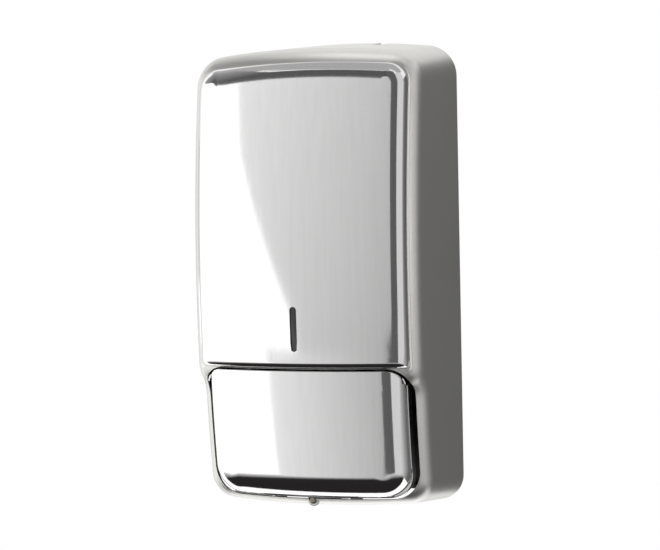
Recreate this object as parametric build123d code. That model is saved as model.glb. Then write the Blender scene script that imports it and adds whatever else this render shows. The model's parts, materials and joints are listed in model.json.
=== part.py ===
from build123d import *
import os
from math import acos, asin, atan2, cos, pi, radians, sin, sqrt, tan

# Wall mounted soap dispenser, in millimetres.
# X runs to the right seen from the front, Y into the wall and Z up.
# The origin is the centre of the four wall screws, on the wall.
# A depth is a distance from the wall towards the user, so it is minus Y.

# Overall size
HEIGHT = 251.0
WIDTH = 123.5
DEPTH = 96.0
SHEET = 1.0
WALL_GAP = 1.5

# Form of the body's front, flanks, top and bottom
PLAN_BOW = 170.0
SIDE_BOW = 680.0
TOP_BOW = 395.0
BOTTOM_BOW = 750.0
TOP_CORNER = 17.0
BOTTOM_CORNER = 14.0
BODY_ROUND = 11.0
TOP_SLOPE = 5.1
BOTTOM_SLOPE = 7.1
RECESS = 7.0
RECESS_BEND = 13.6
DRAIN_HALF = 40.0
DRAIN_BAR = 0.7
DRAIN_CORNER = 8.0

# Front panel, its sight slot and its studs
PANEL_SIDE_MARGIN = 5.25
PANEL_TOP_MARGIN = 12.6
PANEL_BOW = 620.0
PUSH_HEIGHT = 81.5
PANEL_RISE = 4.8
PANEL_CORNER = 12.0
PANEL_ROUND = 9.5
PANEL_FOOT_ROUND = 4.5
PANEL_FLANGE = 16.0
PANEL_CROSSBAR = 14.0
SLOT_WIDTH = 3.6
SLOT_LENGTH = 23.0
SLOT_HEIGHT = 20.5
WINDOW_MARGIN = 5.0
WINDOW_THICK = 2.0
WINDOW_CORNER = 2.0
STUD_R = 1.5
STUD_CLEAR = 0.2
STUD_TIP = 0.8
STUD_INSET = 10.0
STUD_TOP_MARGIN = 14.0
STUD_FOOT_MARGIN = 20.0
NUT_FLATS = 5.5
NUT_THICK = 2.4

# Push plate and the opening that it stands in
PLATE_SIDE_MARGIN = 8.25
LIP_MARGIN = 2.1
PLATE_TOP_GAP = 1.0
PLATE_RISE = 2.8
BRIM_RISE = -2.0
BRIM_CORNER = 12.0
BRIM_TOP_CORNER = 9.0
PLATE_ROUND = 16.0
PLATE_CORNER = 18.0
CROWN_GROW = 1.6
PLATE_FLANGE = 8.5
PLATE_TOP_FLANGE = 3.5
OPENING_GAP = 3.1
OPENING_FOOT_GAP = 1.3
OPENING_TOP_GAP = 0.8

# Pivot of the push plate
PIVOT_DROP = 9.0
PIVOT_SETBACK = 12.0
PIVOT_R = 2.0
PIN_END = 1.3
PUSH_ARM = 41.0
EAR_THICK = 1.5
EAR_INSET = 17.75
EAR_R = 4.0
BARREL_R = 4.4
WELD_TAB = 13.0
CLIP_R = 3.6
CLIP_THICK = 0.8
CLIP_MOUTH = 0.7
GROOVE = 0.4
PIN_CHAMFER = 0.4

# Carrier behind the push plate
CARRIER_INSET = 16.5
CARRIER_TOP_GAP = 4.0
CARRIER_FOOT_GAP = 8.0
CARRIER_THICK = 2.2
CARRIER_STUD_X = 24.0
CARRIER_STUD_DROP = 16.0
CARRIER_STUD_PITCH = 26.0
RIB_THICK = 1.8
RIB_DEEP = 6.0
RIB_X = 12.0
NOSE_R = 6.5
NOSE_BALL_R = 9.0
STOP_X = 21.0
STOP_WIDTH = 6.0
STOP_THICK = 2.8
STOP_GAP = 0.5
STOP_SETBACK = 5.0
STOP_REACH = 2.0

# Cover hinge at the top
HINGE_DEPTH = 14.0
HINGE_DROP = 6.2
HINGE_PIN_R = 1.3
KNUCKLE_R = 2.6
KNUCKLE_LENGTH = 6.0
LUG_R = 3.0
LUG_X = 20.0
LUG_THICK = 3.5
LEAF_GAP = 1.0
LEAF_LENGTH = 13.0
LEAF_THICK = 1.5

# Back plate
BASE_THICK = 2.5
BASE_RIM = 8.0
BASE_RIM_THICK = 2.0
BASE_SIDE_GAP = 2.0
BASE_TOP_MARGIN = 19.5
BASE_FOOT_MARGIN = 8.0
BASE_CORNER = 13.0
SCREW_SPACING_X = 72.0
SCREW_SPACING_Z = 150.0
SCREW_HOLE_R = 2.6
SCREW_PAD_R = 7.0
SCREW_PAD = 1.5
LEDGE_THICK = 2.0
LEDGE_LIP = 6.8
LEDGE_DEEP = 4.0

# Soap tank, its mouth and lid
TANK_SIDE_GAP = 9.75
TANK_REAR = 10.0
TANK_FRONT_GAP = 12.0
TANK_LIFT = 3.0
TANK_HEADSPACE = 50.0
TANK_WALL = 1.8
TANK_CORNER = 12.0
TANK_ROUND = 5.0
MOUTH_HALF = 24.0
MOUTH_REAR = 26.0
MOUTH_LENGTH = 22.0
MOUTH_CORNER = 4.0
MOUTH_RIM = 3.0
MOUTH_WALL = 1.8
LID_GAP = 0.6
LID_WALL = 1.6
LID_THICK = 2.0
LID_TAB = 8.0
LID_PIN_R = 1.2
LID_PIN_DEPTH = 18.0
LID_KNUCKLE_HALF = 17.5
LID_KNUCKLE_R = 2.6
LID_EAR = 3.0
HOOK_HALF = 28.0
HOOK_DROP = 18.0
HOOK_CLEAR = 2.0

# Pump under the tank
PORT_DEPTH = 30.0
BORE_R = 8.0
CYLINDER_R = 11.0
CYLINDER_REAR = 16.0
CYLINDER_OVERHANG = 3.7
FOOT_HALF = 11.8
FOOT_DROP = 4.0
NECK_R = 9.5
NECK_BORE_R = 6.5
NECK_LENGTH = 16.0
RISER_R = 8.0
RISER_BORE_R = 6.0
FLANGE_THICK = 2.5
TANK_NUT_WALL = 3.0
TANK_NUT_LENGTH = 13.0
NUT_CLEAR = 0.3
NUT_FLUTES = 16
FLUTE_R = 1.2
SEAL_THICK = 1.5
WEB_LIFT = 14.0
WEB_THICK = 1.5
VALVE_R = 5.2
VALVE_CUP = 1.4
VALVE_STEM_R = 1.2
VALVE_PORTS = 4
VALVE_PORT_R = 1.2
VALVE_PORT_RING = 3.4
CAP_PLUG = 4.0
PISTON_SETBACK = 11.0
PISTON_LENGTH = 6.0
ROD_R = 4.0
HEAD_R = 8.0
HEAD_REACH = 18.0
HEAD_THICK = 3.5
PUSH_GAP = 0.3
GLAND_PLUG = 4.0
GLAND_FLANGE = 4.0
GLAND_SEAL = 1.5
SPRING_R = 5.6
WIRE_R = 0.55
SPRING_TURNS = 7
SPRING_POINTS = 24
WIRE_SIDES = 8
OUTLET_R = 6.0
OUTLET_BORE_R = 4.2
OUTLET_LENGTH = 19.0
BILL_R = 3.6
BILL_WALL = 0.8
BILL_LENGTH = 4.5
SLIT = 0.5
NOZZLE_WALL = 1.8
NOZZLE_LENGTH = 12.0
NOZZLE_TIP_R = 4.6
NOZZLE_LIP = 1.2

# Bracket that carries the pump
SHELF_DROP = 12.0
SHELF_THICK = 3.0
SHELF_HALF = 15.0
BRACKET_HALF = 27.0
BRACKET_THICK = 3.0
BRACKET_TALL = 32.0
BRACKET_SCREW_X = 21.0
GUSSET = 2.5
PUMP_SCREW_X = 9.0
PUMP_SCREW_INSET = 5.0
PUMP_SCREW_GRIP = 4.0
SCREW_R = 1.5
SCREW_HEAD_R = 3.0
SCREW_HEAD = 2.2

# Catch that holds the cover shut
PIN_R = 1.4
PIN_HEAD_R = 2.0
PIN_DROP = 1.0
PIN_PROUD = 1.2
PIN_HEAD_LENGTH = 3.0
PIN_LENGTH = 13.0
PIN_CLIP_R = 2.1
BOSS_WIDTH = 6.6
BOSS_LENGTH = 6.0
LIP_ROUND = 0.6
LIP_SETBACK = 3.0
LATCH_THICK = 0.8
LATCH_HALF = 6.0
LATCH_BASE = 12.0
LATCH_ARM = 5.5
LATCH_BEND = 4.5
LATCH_DROP = 1.9
LATCH_HOOK = 6.0
LATCH_REACH = 7.0
LATCH_OVERREACH = 0.6
STRIKE_GAP = 3.0
STRIKE_ROOM = 0.8
STRIKE_THICK = 1.2
STRIKE_HOLD = 1.4
CATCH_HALF = 9.0
CATCH_THICK = 1.0
CATCH_TAIL = 2.5
GUIDE_THICK = 1.2
GUIDE_HALF = 2.6

# Fits
RUN_FIT = 0.05
SEAT_GAP = 0.05
PRESS_FIT = 0.02
SIDE_GAP = 0.5

# Places worked out from the sizes above
TOP = HEIGHT / 2
BOTTOM = -HEIGHT / 2
BODY_FRONT = DEPTH - PANEL_RISE
BOW_AXIS = BODY_FRONT - PLAN_BOW
PANEL_WIDTH = WIDTH - 2 * PANEL_SIDE_MARGIN
PANEL_TOP = TOP - PANEL_TOP_MARGIN
PANEL_FOOT = BOTTOM + PUSH_HEIGHT
PLATE_TOP = PANEL_FOOT - PLATE_TOP_GAP
PLATE_FOOT = BOTTOM + BODY_FRONT * tan(radians(BOTTOM_SLOPE)) + LIP_MARGIN
PLATE_WIDTH = WIDTH - 2 * PLATE_SIDE_MARGIN
OPENING_TOP = PLATE_TOP + OPENING_TOP_GAP
OPENING_FOOT = PLATE_FOOT - OPENING_FOOT_GAP
PIVOT_Z = PANEL_FOOT - PIVOT_DROP
PUMP_Z = PIVOT_Z - PUSH_ARM
SLOT_Z = PANEL_FOOT + SLOT_HEIGHT
CARRIER_HALF = PLATE_WIDTH / 2 - CARRIER_INSET
CARRIER_TOP = PLATE_TOP - CARRIER_TOP_GAP
CARRIER_FOOT = PLATE_FOOT + CARRIER_FOOT_GAP
CARRIER_STUD_ROWS = (PLATE_TOP - CARRIER_STUD_DROP, PLATE_TOP - CARRIER_STUD_DROP - CARRIER_STUD_PITCH)
STOP_FOOT = OPENING_FOOT - STOP_REACH
EAR_X = WIDTH / 2 - EAR_INSET
CLIP_X = EAR_X + EAR_THICK + PIN_CHAMFER
PIVOT_HALF = CLIP_X + CLIP_THICK + PIN_END
HINGE_Z = TOP - HINGE_DROP
KNUCKLE_X = LUG_X + LUG_THICK + SIDE_GAP
LEAF_REAR = HINGE_DEPTH + LUG_R + LEAF_GAP
LEAF_FRONT = LEAF_REAR + LEAF_LENGTH
LEAF_HALF = KNUCKLE_X + KNUCKLE_LENGTH
LEAF_SEAT = SHEET + SEAT_GAP + TOP_BOW - sqrt(TOP_BOW**2 - LEAF_HALF**2)
BASE_HALF = WIDTH / 2 - SHEET - BASE_SIDE_GAP
BASE_TOP = TOP - BASE_TOP_MARGIN
BASE_FOOT = BOTTOM + BASE_FOOT_MARGIN
TANK_HALF = WIDTH / 2 - TANK_SIDE_GAP
TANK_FLOOR = PANEL_FOOT + TANK_LIFT
TANK_TOP = TOP - TANK_HEADSPACE
TANK_FRONT = BODY_FRONT - TANK_FRONT_GAP
HOOK_Z = TANK_TOP - HOOK_DROP
LEDGE_Z = HOOK_Z - LEDGE_DEEP - LEDGE_THICK
LID_Z = TANK_TOP + MOUTH_RIM + SEAL_THICK + 2 * SEAT_GAP
LID_PIN_Z = LID_Z + LID_THICK - LID_KNUCKLE_R / 2
NECK_FOOT = TANK_FLOOR - NECK_LENGTH
RISER_TOP = NECK_FOOT - SEAL_THICK
WEB_Z = PUMP_Z + WEB_LIFT
CAP_FRONT = CYLINDER_REAR + CAP_PLUG
PISTON_R = BORE_R - RUN_FIT
OUTLET_FOOT = PUMP_Z - OUTLET_LENGTH
SHELF_Z = PUMP_Z - SHELF_DROP
NOZZLE_TOP = SHELF_Z - SHELF_THICK - 2 * NUT_CLEAR
NOZZLE_TIP = NOZZLE_TOP - NOZZLE_LENGTH
BRACKET_SCREW_Z = SHELF_Z - SHELF_THICK + BRACKET_TALL / 2
PUMP_SCREW_TOP = SHELF_Z + PUMP_SCREW_GRIP
PIN_Z = OPENING_FOOT - PIN_DROP
LATCH_Z = SHELF_Z - SHELF_THICK - 2 * SEAT_GAP
LATCH_FOOT = LATCH_Z - LATCH_REACH
STRIKE_TOP = LATCH_FOOT + STRIKE_HOLD
FAR = 2 * (HEIGHT + WIDTH + DEPTH)


def at(x, depth, z):
    """Point at a place given by its depth from the wall."""
    return Vector(x, -depth, z)


def front_radius(z, rise=0.0):
    """Plan radius of the bowed front at a height."""
    return PLAN_BOW - SIDE_BOW + sqrt((SIDE_BOW + rise) ** 2 - z**2)


def front_depth(x, z, rise=0.0):
    """Depth of the bowed front, or of a surface a given rise in front of it."""
    return BOW_AXIS + sqrt(front_radius(z, rise) ** 2 - x**2)


# Places that follow the bowed front
PIVOT_DEPTH = front_depth(0, PIVOT_Z) - PIVOT_SETBACK
STOP_FRONT = front_depth(STOP_X, PLATE_FOOT, BRIM_RISE - PLATE_FLANGE) - STOP_SETBACK
LIP_FRONT = front_depth(0, PIN_Z, -RECESS) - LIP_SETBACK
CATCH_FRONT = LIP_FRONT - BOSS_LENGTH
GUIDE_FRONT = CATCH_FRONT - GUIDE_THICK
GUIDE_REAR = GUIDE_FRONT - GUIDE_THICK
PIN_FRONT = LIP_FRONT + PIN_PROUD
PIN_HEAD_REAR = PIN_FRONT - PIN_HEAD_LENGTH
PIN_TIP = PIN_FRONT - PIN_LENGTH
PIN_CLIP = GUIDE_REAR - CLIP_THICK - NUT_CLEAR
CLIP_ROOM = PIN_CLIP_R + SIDE_GAP
LATCH_NOSE = PIN_TIP + LATCH_OVERREACH
LATCH_KNEE = LATCH_NOSE - LATCH_BEND
LATCH_TIP = LATCH_NOSE - LATCH_HOOK
SHELF_FRONT = LATCH_KNEE - LATCH_ARM
LATCH_REAR = SHELF_FRONT - LATCH_BASE
STRIKE_FRONT = LATCH_TIP - STRIKE_ROOM
CATCH_REAR = STRIKE_FRONT - STRIKE_THICK - CATCH_TAIL
DRAIN_DEPTH = CATCH_REAR - DRAIN_BAR
BOTTOM_LIFT = DRAIN_DEPTH * tan(radians(BOTTOM_SLOPE)) + 3 * SHEET
PUMP_SCREW_DEPTH = SHELF_FRONT - PUMP_SCREW_INSET
CYLINDER_FRONT = SHELF_FRONT + CYLINDER_OVERHANG
PISTON_REST = CYLINDER_FRONT - PISTON_SETBACK
HEAD_DEPTH = CYLINDER_FRONT + HEAD_REACH


def front_plane(x, z, rise=0.0):
    """Plane on the bowed front, with its normal pointing out of it."""
    turn = asin(x / front_radius(z, rise))
    lean = asin(z / (SIDE_BOW + rise))
    normal = Vector(cos(lean) * sin(turn), -cos(lean) * cos(turn), sin(lean))
    return Plane(origin=at(x, front_depth(x, z, rise), z), x_dir=(cos(turn), sin(turn), 0), z_dir=normal)


def bow_point(radius, z):
    """Point of the front's profile, drawn on the far side of the bow's axis."""
    return Vector(0, radius - BOW_AXIS, z)


def bow_arc(centre, radius, start, end):
    """Arc of the front's profile between two angles below the horizontal, in radians."""
    turns = (start, (start + end) / 2, end)
    places = [(centre[0] + radius * cos(turn), centre[1] - radius * sin(turn)) for turn in turns]
    return ThreePointArc(*[bow_point(*place) for place in places])


def front_solid(rise=0.0, stepped=False):
    """Everything behind the bowed front moved out by a rise, with its step behind the push plate if asked."""
    centre = (PLAN_BOW - SIDE_BOW, 0.0)
    upper = SIDE_BOW + rise
    lower = upper - RECESS
    reach = asin((HEIGHT / 2 + RECESS_BEND) / lower)
    if not stepped:
        edges = [bow_arc(centre, upper, -reach, reach)]
    else:
        out_arm = SIDE_BOW - RECESS_BEND
        in_arm = SIDE_BOW - RECESS + RECESS_BEND
        apart = acos((out_arm**2 + in_arm**2 - 4 * RECESS_BEND**2) / (2 * out_arm * in_arm))
        first = asin(-PANEL_FOOT / SIDE_BOW)
        last = first + apart
        out_centre = (centre[0] + out_arm * cos(first), -out_arm * sin(first))
        in_centre = (centre[0] + in_arm * cos(last), -in_arm * sin(last))
        lean = atan2(out_centre[1] - in_centre[1], in_centre[0] - out_centre[0])
        edges = [
            bow_arc(centre, upper, -reach, first),
            bow_arc(out_centre, RECESS_BEND + rise, first, lean),
            bow_arc(in_centre, RECESS_BEND - rise, lean + pi, last + pi),
            bow_arc(centre, lower, last, reach),
        ]
    top = edges[0] @ 0
    foot = edges[-1] @ 1
    edges += Polyline(foot, (0, -BOW_AXIS, foot.Z), (0, -BOW_AXIS, top.Z), top).edges()
    return revolve(make_face(edges), Axis((0, -BOW_AXIS, 0), (0, 0, 1)))


def is_front(face):
    """Whether a face belongs to the bowed front."""
    return face.geom_type in (GeomType.TORUS, GeomType.REVOLUTION)


def front_border(form):
    """Edges between the bowed front and the sides of a form."""
    bowed = [face for face in form.faces() if is_front(face)]
    found = []
    for edge in form.edges():
        owners = sum(any(edge.is_same(other) for other in face.edges()) for face in bowed)
        if owners == 1:
            found.append(edge)
    return found


def front_prism(outline, rear=0.0, front=FAR):
    """Prism of an outline drawn in front view, between two depths."""
    return extrude(Plane.XZ.offset(rear) * outline, amount=front - rear)


def side_prism(outline, half, middle=0.0):
    """Prism of an outline drawn from the side in minus depth and height, to both sides of a middle."""
    return Pos(middle, 0, 0) * extrude(Plane.YZ * outline, amount=half, both=True)


def side_shape(points):
    """Face from points given by depth and height."""
    return make_face(Polyline([(-depth, z) for depth, z in points], close=True))


def panel_outline(half, top, foot, top_r=0.0, foot_r=0.0):
    """Rectangle in front view with its own radius for the top and the foot corners."""
    shape = Pos(0, (top + foot) / 2) * Rectangle(2 * half, top - foot)
    corners = shape.vertices().sort_by(Axis.Y)
    if foot_r > 0:
        shape = fillet(corners[:2], foot_r)
        corners = shape.vertices().sort_by(Axis.Y)
    if top_r > 0:
        shape = fillet(corners[-2:], top_r)
    return shape


def drum_x(radius, x0, x1, depth, z):
    """Round bar along X."""
    return Pos(at((x0 + x1) / 2, depth, z)) * Rot(0, 90, 0) * Cylinder(radius, abs(x1 - x0))


def drum_d(radius, rear, front, x, z):
    """Round bar along the depth."""
    return Pos(at(x, (rear + front) / 2, z)) * Rot(90, 0, 0) * Cylinder(radius, abs(front - rear))


def drum_z(radius, z0, z1, x, depth):
    """Upright round bar."""
    return Pos(at(x, depth, (z0 + z1) / 2)) * Cylinder(radius, abs(z1 - z0))


def block(x0, x1, rear, front, z0, z1):
    """Block between two places in each direction."""
    middle = at((x0 + x1) / 2, (rear + front) / 2, (z0 + z1) / 2)
    return Pos(middle) * Box(abs(x1 - x0), abs(front - rear), abs(z1 - z0))


def top_line(depth, inset=0.0):
    """Height of the sloping top at a depth."""
    slope = radians(TOP_SLOPE)
    return TOP - depth * tan(slope) - inset / cos(slope)


def bottom_line(depth, inset=0.0):
    """Height of the sloping bottom at a depth."""
    slope = radians(BOTTOM_SLOPE)
    return BOTTOM + depth * tan(slope) + inset / cos(slope)


def bowed_outline(half, top, foot, bow, corner):
    """Outline in front view with a bowed top edge and rounded top corners."""
    shape = panel_outline(half, top, foot) & (Pos(0, top - bow) * Circle(bow))
    return fillet(shape.vertices().sort_by(Axis.Y)[-2:], corner)


def body_form(inset, rear):
    """Solid form of the body, inset by a wall, from a rear depth to its rounded front."""
    half = WIDTH / 2 - inset
    reach = 2 * DEPTH
    upper = bowed_outline(half, top_line(rear, inset), 2 * BOTTOM, TOP_BOW - inset, TOP_CORNER - inset)
    foot = -bottom_line(rear, inset)
    lower = bowed_outline(half, foot, 2 * BOTTOM, BOTTOM_BOW - inset, BOTTOM_CORNER - inset)
    fall = Vector(0, -1, -tan(radians(TOP_SLOPE)))
    climb = Vector(0, -1, tan(radians(BOTTOM_SLOPE)))
    form = extrude(Plane.XZ.offset(rear) * upper, amount=reach, dir=fall)
    form = form & extrude(Plane.XZ.offset(rear) * Rot(0, 0, 180) * lower, amount=reach, dir=climb)
    form = form & front_solid(-inset, stepped=True)
    return fillet(front_border(form), BODY_ROUND - inset)


def body_shell():
    """Deep drawn tray with the panel's seat, the push plate's opening and the open bottom."""
    shell = body_form(0, WALL_GAP) - body_form(SHEET, WALL_GAP - 2 * SHEET)
    shell += lip_boss()
    seat_foot = PANEL_FOOT + PANEL_CROSSBAR
    seat_half = PANEL_WIDTH / 2 - PANEL_FLANGE
    seat = panel_outline(seat_half, PANEL_TOP - PANEL_FLANGE, seat_foot, PANEL_CORNER, PANEL_CORNER)
    shell -= front_prism(seat, DEPTH / 2)
    shell -= front_prism(opening_outline(), DEPTH / 2)
    shell -= front_prism(pin_notch(), CATCH_FRONT)
    shell -= hinge_slot(-1) + hinge_slot(1)
    shell -= drain_notch()
    for x, z in panel_stud_places():
        shell -= front_plane(x, z) * Cylinder(STUD_R + STUD_CLEAR, 4 * PANEL_RISE)
    return shell


def opening_outline():
    """Outline of the opening for the push plate."""
    top_r = BRIM_TOP_CORNER + OPENING_GAP
    foot_r = BRIM_CORNER + OPENING_GAP
    return panel_outline(PLATE_WIDTH / 2 + OPENING_GAP, OPENING_TOP, OPENING_FOOT, top_r, foot_r)


def lip_boss():
    """Swelling of the lip that guides the release pin."""
    boss = drum_d(BOSS_WIDTH / 2, CATCH_FRONT, LIP_FRONT, 0, PIN_Z)
    boss = fillet(boss.edges().sort_by(Axis.Y)[0], LIP_ROUND)
    return boss - block(-WIDTH, WIDTH, 0, DEPTH, OPENING_FOOT, TOP)


def pin_notch():
    """Round bottomed notch in the lip, open to the push plate's opening."""
    top = OPENING_FOOT + PIN_HEAD_R
    wide = PIN_HEAD_R + RUN_FIT
    return panel_outline(wide, top, PIN_Z, 0, 0) + Pos(0, PIN_Z) * Circle(wide)


def hinge_slot(side):
    """Slot in the rear of the top wall that passes over a hinge lug."""
    near = side * (LUG_X - SIDE_GAP)
    far = side * (LUG_X + LUG_THICK + SIDE_GAP)
    return block(near, far, -SHEET, LEAF_REAR - SIDE_GAP, HINGE_Z - LUG_R, TOP + SHEET)


def drain_notch():
    """Cut in the bottom wall round the nozzle, open at the wall."""
    plan = Pos(0, -DRAIN_DEPTH / 2) * Rectangle(2 * DRAIN_HALF, DRAIN_DEPTH)
    plan = fillet(plan.vertices().sort_by(Axis.Y)[:2], DRAIN_CORNER)
    return Pos(0, 0, BOTTOM - SHEET) * extrude(plan, amount=BOTTOM_LIFT)


def panel_form(inset):
    """Solid form of the front panel, inset by a wall."""
    foot = PANEL_FOOT + inset
    half = PANEL_WIDTH / 2 - inset
    outline = bowed_outline(half, PANEL_TOP - inset, foot, PANEL_BOW - inset, PANEL_CORNER - inset)
    form = front_prism(outline, DEPTH / 2) & front_solid(PANEL_RISE - inset)
    crown = [edge for edge in front_border(form) if abs(edge.center().Z - foot) > SHEET]
    form = fillet(crown, PANEL_ROUND - inset)
    low = [edge for edge in form.edges() if abs(edge.bounding_box().max.Z - foot) < 0.01]
    low = [edge for edge in low if edge.geom_type != GeomType.LINE]
    return fillet(low, PANEL_FOOT_ROUND - inset)


def panel_stud_places():
    """Places of the studs on the front panel, in front view."""
    x = PANEL_WIDTH / 2 - STUD_INSET
    top = PANEL_TOP - STUD_TOP_MARGIN
    foot = PANEL_FOOT + STUD_FOOT_MARGIN
    return [(side * x, z) for side in (-1, 1) for z in (top, (top + foot) / 2, foot)]


def stud(x, z, rise, base):
    """Welded stud that stands back from a surface, long enough for a base and a nut."""
    length = base + NUT_THICK + STUD_TIP
    return front_plane(x, z) * Pos(0, 0, rise - length / 2) * Cylinder(STUD_R, length)


def nut(x, z, rise):
    """Hexagon nut behind a surface."""
    face = RegularPolygon(NUT_FLATS / sqrt(3), 6) - Circle(STUD_R + PRESS_FIT)
    return front_plane(x, z) * Pos(0, 0, rise - SEAT_GAP - NUT_THICK) * extrude(face, amount=NUT_THICK)


def front_panel():
    """Raised front panel, open at the back, with its sight slot and its welded studs."""
    panel = panel_form(0) - panel_form(SHEET) - body_form(0, 0)
    slot = Pos(0, SLOT_Z) * Rot(0, 0, 90) * SlotOverall(SLOT_LENGTH, SLOT_WIDTH)
    panel -= front_prism(slot, DEPTH / 2)
    core = panel_form(SHEET / 2)
    for x, z in panel_stud_places():
        panel += stud(x, z, PANEL_RISE, PANEL_RISE + SHEET) & core
    return panel


def panel_nuts():
    """Nuts that hold the front panel on the body."""
    return Compound(children=[nut(x, z, -SHEET) for x, z in panel_stud_places()])


def level_window():
    """Clear strip behind the sight slot."""
    half = SLOT_WIDTH / 2 + WINDOW_MARGIN
    reach = SLOT_LENGTH / 2 + WINDOW_MARGIN
    outline = panel_outline(half, SLOT_Z + reach, SLOT_Z - reach, WINDOW_CORNER, WINDOW_CORNER)
    rise = PANEL_RISE - SHEET - SEAT_GAP
    return (front_prism(outline, DEPTH / 2) & front_solid(rise)) - front_solid(rise - WINDOW_THICK)


def plate_form(inset):
    """Solid form of the push plate: crowned face on a flat brim."""
    half = PLATE_WIDTH / 2 - inset
    foot = PLATE_FOOT + inset
    brim = panel_outline(half, PLATE_TOP - inset, foot, BRIM_TOP_CORNER - inset, BRIM_CORNER - inset)
    crown_r = PLATE_CORNER + CROWN_GROW - inset
    crown = panel_outline(half + CROWN_GROW, PANEL_FOOT, foot - CROWN_GROW, 0, crown_r)
    brim_prism = front_prism(brim, DEPTH / 2)
    face = front_prism(crown, DEPTH / 2) & front_solid(PLATE_RISE - inset)
    border = [edge for edge in front_border(face) if edge.center().Z < PANEL_FOOT - SHEET]
    face = fillet(border, PLATE_ROUND - inset)
    return (face & brim_prism) + (brim_prism & front_solid(BRIM_RISE - inset))


def carrier_stud_places():
    """Places of the studs on the push plate, in front view."""
    return [(side * CARRIER_STUD_X, z) for side in (-1, 1) for z in CARRIER_STUD_ROWS]


def push_plate():
    """Pressed push plate with its brim, a turned back flange and welded studs."""
    plate = plate_form(0) - plate_form(SHEET) - front_solid(BRIM_RISE - PLATE_FLANGE)
    top_slab = block(-WIDTH, WIDTH, 0, DEPTH, PIVOT_Z, PANEL_FOOT)
    plate -= top_slab & front_solid(PLATE_RISE - PLATE_TOP_FLANGE)
    for x, z in carrier_stud_places():
        plate += stud(x, z, PLATE_RISE - SHEET / 2, CARRIER_THICK + SHEET)
    return plate


def carrier_nuts():
    """Nuts that hold the carrier on the push plate."""
    rise = PLATE_RISE - SHEET - SEAT_GAP - CARRIER_THICK
    return Compound(children=[nut(x, z, rise) for x, z in carrier_stud_places()])


def carrier_ribs():
    """Outlines of the carrier's ribs, in front view."""
    tall = CARRIER_TOP - CARRIER_FOOT
    middle = (CARRIER_TOP + CARRIER_FOOT) / 2
    edge = CARRIER_HALF - RIB_THICK / 2
    ribs = [Pos(x, middle) * Rectangle(RIB_THICK, tall) for x in (-edge, -RIB_X, RIB_X, edge)]
    rows = (CARRIER_TOP - RIB_THICK / 2, sum(CARRIER_STUD_ROWS) / 2, CARRIER_FOOT + RIB_THICK / 2)
    ribs += [Pos(0, z) * Rectangle(2 * CARRIER_HALF, RIB_THICK) for z in rows]
    return Sketch() + ribs


def push_carrier():
    """Ribbed moulding behind the push plate with its pivot barrels, pusher nose and stops."""
    seat = SHEET + SEAT_GAP
    room = plate_form(seat)
    outline = panel_outline(CARRIER_HALF, CARRIER_TOP, CARRIER_FOOT, RIB_THICK, RIB_THICK)
    base = front_prism(outline, DEPTH / 2)
    carrier = (base & room) - plate_form(seat + CARRIER_THICK)
    carrier += (front_prism(carrier_ribs(), DEPTH / 2) & room) - front_solid(PLATE_RISE - seat - RIB_DEEP)
    for side in (-1, 1):
        carrier += pivot_arm(side) & room
        carrier += stop_arm(side)
    carrier += pusher_nose() & room
    carrier -= drum_x(PIVOT_R + RUN_FIT, -WIDTH, WIDTH, PIVOT_DEPTH, PIVOT_Z)
    for x, z in carrier_stud_places():
        carrier -= front_plane(x, z) * Cylinder(STUD_R + PRESS_FIT, 4 * CARRIER_THICK + 4 * PLATE_RISE)
    return carrier


def pivot_arm(side):
    """Barrel round the pivot pin and the cheek that ties it to the carrier."""
    cheek = side_shape(
        [
            (DEPTH, CARRIER_TOP),
            (PIVOT_DEPTH, PIVOT_Z + BARREL_R),
            (PIVOT_DEPTH, PIVOT_Z - BARREL_R),
            (DEPTH, PIVOT_Z - 4 * BARREL_R),
        ]
    )
    arm = side_prism(cheek, RIB_THICK, side * (CARRIER_HALF - RIB_THICK))
    inner = CARRIER_HALF - 2 * RIB_THICK
    return arm + drum_x(BARREL_R, side * inner, side * (EAR_X - SIDE_GAP), PIVOT_DEPTH, PIVOT_Z)


def pusher_nose():
    """Round ended nose that presses the plunger."""
    tip = HEAD_DEPTH + PUSH_GAP
    ball = Pos(at(0, tip + NOSE_BALL_R, PUMP_Z)) * Sphere(NOSE_BALL_R)
    nose = drum_d(NOSE_R, tip + NOSE_BALL_R, DEPTH, 0, PUMP_Z)
    return nose + (ball & drum_d(NOSE_R, tip, DEPTH, 0, PUMP_Z))


def stop_arm(side):
    """Arm behind the push plate's flange whose toe stops behind the lip."""
    arm = side_shape(
        [
            (STOP_FRONT + 3 * RIB_DEEP, CARRIER_FOOT + 2 * STOP_THICK),
            (STOP_FRONT + 3 * RIB_DEEP, CARRIER_FOOT),
            (STOP_FRONT, CARRIER_FOOT - STOP_THICK),
            (STOP_FRONT, STOP_FOOT),
            (STOP_FRONT - STOP_THICK, STOP_FOOT),
            (STOP_FRONT - STOP_THICK, CARRIER_FOOT),
        ]
    )
    arm = side_prism(arm, STOP_WIDTH / 2, side * STOP_X) & plate_form(SHEET + CARRIER_THICK / 2)
    toe = side_prism(
        side_shape(
            [
                (DEPTH, CARRIER_FOOT - STOP_THICK),
                (DEPTH, STOP_FOOT),
                (STOP_FRONT - STOP_THICK, STOP_FOOT),
                (STOP_FRONT - STOP_THICK, CARRIER_FOOT - STOP_THICK),
            ]
        ),
        STOP_WIDTH / 2,
        side * STOP_X,
    )
    toe = toe & body_form(SHEET + STOP_GAP, 0)
    behind = block(-WIDTH, WIDTH, 0, STOP_FRONT, BOTTOM, CARRIER_FOOT)
    return arm + (toe & behind)


def pivot_brackets():
    """Two sheet ears, welded behind the crossbar, that carry the pivot pin."""
    return Compound(children=[pivot_bracket(side) for side in (-1, 1)])


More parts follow.
